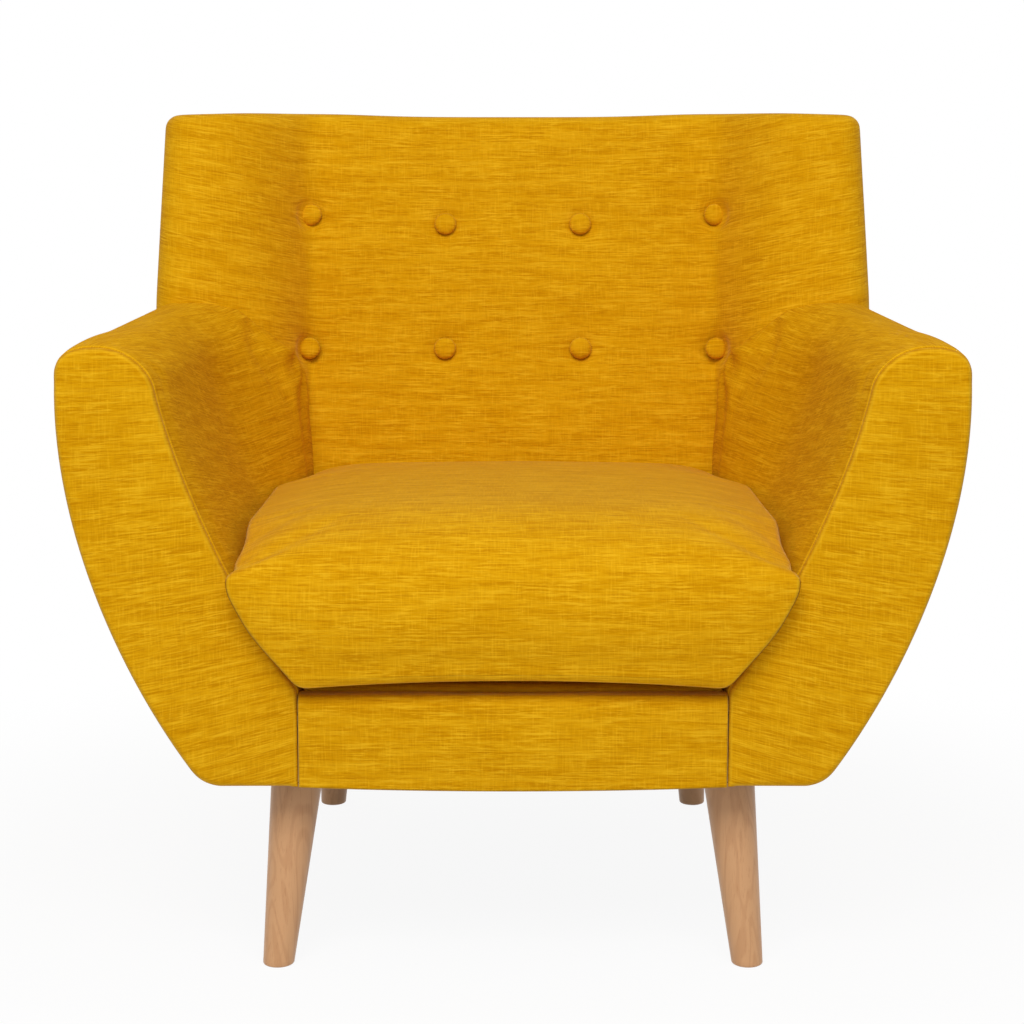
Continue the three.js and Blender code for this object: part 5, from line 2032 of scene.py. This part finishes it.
@dataclass(frozen=True)
class Studio:
    """A pale floor, soft lamps and the camera."""

    lens: float = 76.22
    sensor: float = 36.0
    camera_at: Vec3 = (-0.0009, -2.4011, 0.7360)
    camera_dip: float = 7.914
    lamps: tuple[tuple[str, Vec3, float, float], ...] = (
        ("key_lamp", (-0.8, -2.6, 2.9), 1.6, 49.0),
        ("fill_lamp", (0.8, -2.6, 2.9), 1.6, 27.5),
        ("top_lamp", (0.0, -1.6, 3.4), 1.8, 13.0),
    )
    lamps_at: Vec3 = (0.0, 0.0, 0.45)
    sky: float = 0.41
    floor_half: float = 14.0
    floor_tone: float = 0.82
    pool: tuple[float, float] = (0.45, 1.15)
    pool_share: float = 0.92

    def build(self) -> None:
        """Set up floor, lamps, world and camera."""
        self._floor()
        self._world()
        for lamp in self.lamps:
            self._lamp(*lamp)
        self._camera()
        bpy.context.scene.view_settings.view_transform = "Standard"

    @staticmethod
    def _seen(bench: NodeBench) -> Socket:
        """1 for what the eye sees directly, in a reflection or through glass."""
        rays = bench.node("LightPath").outputs
        seen = bench.maths("MAXIMUM", rays["Is Camera Ray"], rays["Is Glossy Ray"])
        return bench.maths("MAXIMUM", seen, rays["Is Transmission Ray"])

    def _floor(self) -> None:
        """A wide floor, white to the eye, that keeps the chair's shadow."""
        mesh = bpy.data.meshes.new("floor")
        work = bmesh.new()
        bmesh.ops.create_grid(work, x_segments=12, y_segments=12, size=self.floor_half)
        work.to_mesh(mesh)
        work.free()
        floor = add_object("floor", mesh)
        material, bench, shader = new_material("pale_floor")
        tone = (self.floor_tone, self.floor_tone, self.floor_tone, 1.0)
        bench.fill(shader, {"Base Color": tone, "Roughness": 0.9, "Specular IOR Level": 0.1})
        glow = bench.node("Emission", {"Strength": 1.0})
        reach = bench.node("VectorMath", {0: bench.place()}, operation="LENGTH").outputs["Value"]
        share = bench.scaled(bench.step(reach, *self.pool), 1 - self.pool_share, self.pool_share)
        share = bench.times(self._seen(bench), share)
        join_shaders = {0: share, 1: shader.outputs[0], 2: glow.outputs[0]}
        output = next(n for n in material.node_tree.nodes if n.type == "OUTPUT_MATERIAL")
        bench.fill(output, {"Surface": bench.node("MixShader", join_shaders).outputs[0]})
        dress(floor, material)
        floor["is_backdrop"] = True

    def _world(self) -> None:
        """An even sky that the eye sees as white."""
        world = bpy.data.worlds.new("studio")
        bpy.context.scene.world = world
        world.use_nodes = True
        world.node_tree.nodes.clear()
        bench = NodeBench(world.node_tree)
        soft, white = (
            bench.node("Background", {"Color": WHITE, "Strength": strength}).outputs[0]
            for strength in (self.sky, 1.0)
        )
        both = bench.node("MixShader", {0: self._seen(bench), 1: soft, 2: white}).outputs[0]
        bench.node("OutputWorld", {"Surface": both})

    def _lamp(self, name: str, place: Vec3, size: float, power: float) -> None:
        """A square lamp that looks at the seat.

        Args:
            name: The lamp's name.
            place: Where it hangs.
            size: Its side.
            power: Its power in watts.
        """
        data = bpy.data.lights.new(name, "AREA")
        data.shape = "SQUARE"
        data.size = size
        data.energy = power
        lamp = add_object(name, data)
        lamp.location = place
        way = Vector(self.lamps_at) - Vector(place)
        lamp.rotation_euler = way.to_track_quat("-Z", "Y").to_euler()

    def _camera(self) -> None:
        """The camera in front of the chair, a little above the arms."""
        data = bpy.data.cameras.new("camera")
        data.lens = self.lens
        data.sensor_width = self.sensor
        camera = add_object("camera", data)
        camera.location = self.camera_at
        camera.rotation_euler = (math.radians(90 - self.camera_dip), 0.0, 0.0)
        bpy.context.scene.camera = camera


# ---- making it


def main() -> None:
    """Build and dress the whole chair."""
    logging.basicConfig(level=logging.INFO, format="%(name)s: %(message)s")
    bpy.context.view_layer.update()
    Studio().build()
    form = ChairForm.from_frame()
    limit = ArmLimit(form)
    finishes = Finishes()
    InnerFrame(finishes).dress()
    spots = ButtonSpot.all()
    # The second cloth is the darker copy with painted shade, for the inside arms and the deck.
    cloth, arm_cloth, slot = finishes.cloth, finishes.arm_cloth, "slub_fabric"
    settle(InsideBack(form, limit, spots).build(), FRAME_BODY, ["inside_back"], cloth)
    settle(OutsideBack(form).build(), FRAME_BODY, ["outside_back"], cloth)
    for spot in spots:
        settle(CoveredButton(form, spot).build(), FRAME_BODY, [spot.node], cloth)
    for hand in Hand:
        for maker, node, finish, fill in (
            (InsideArm, "inside_arm", arm_cloth, 0.8),
            (OutsideArm, "outside_arm", cloth, 0.3),
            (ArmFacing, "arm_facing", cloth, 0.8),
        ):
            settle(maker(form, hand).build(), FRAME_BODY, [f"{node}_{hand.word}"], finish)
    settle(FrontBorder(form).build(), FRAME_BODY, ["front_border"], cloth)
    settle(SeatDeck(limit).build(), FRAME_BODY, ["seat_deck"], arm_cloth)
    cushion = SeatCushion(form, limit).build()
    settle(cushion, CUSHION_BODY, ["seat_cushion"], finishes.cushion_cloth)
    for leg in TurnedLeg.all():
        settle(leg.build(), FRAME_BODY, [leg.node], finishes.leg)
    lining, flat, area = DustCover().build()
    settle(lining, FRAME_BODY, ["dust_cover"], finishes.lining)


if __name__ == "__main__":
    main()
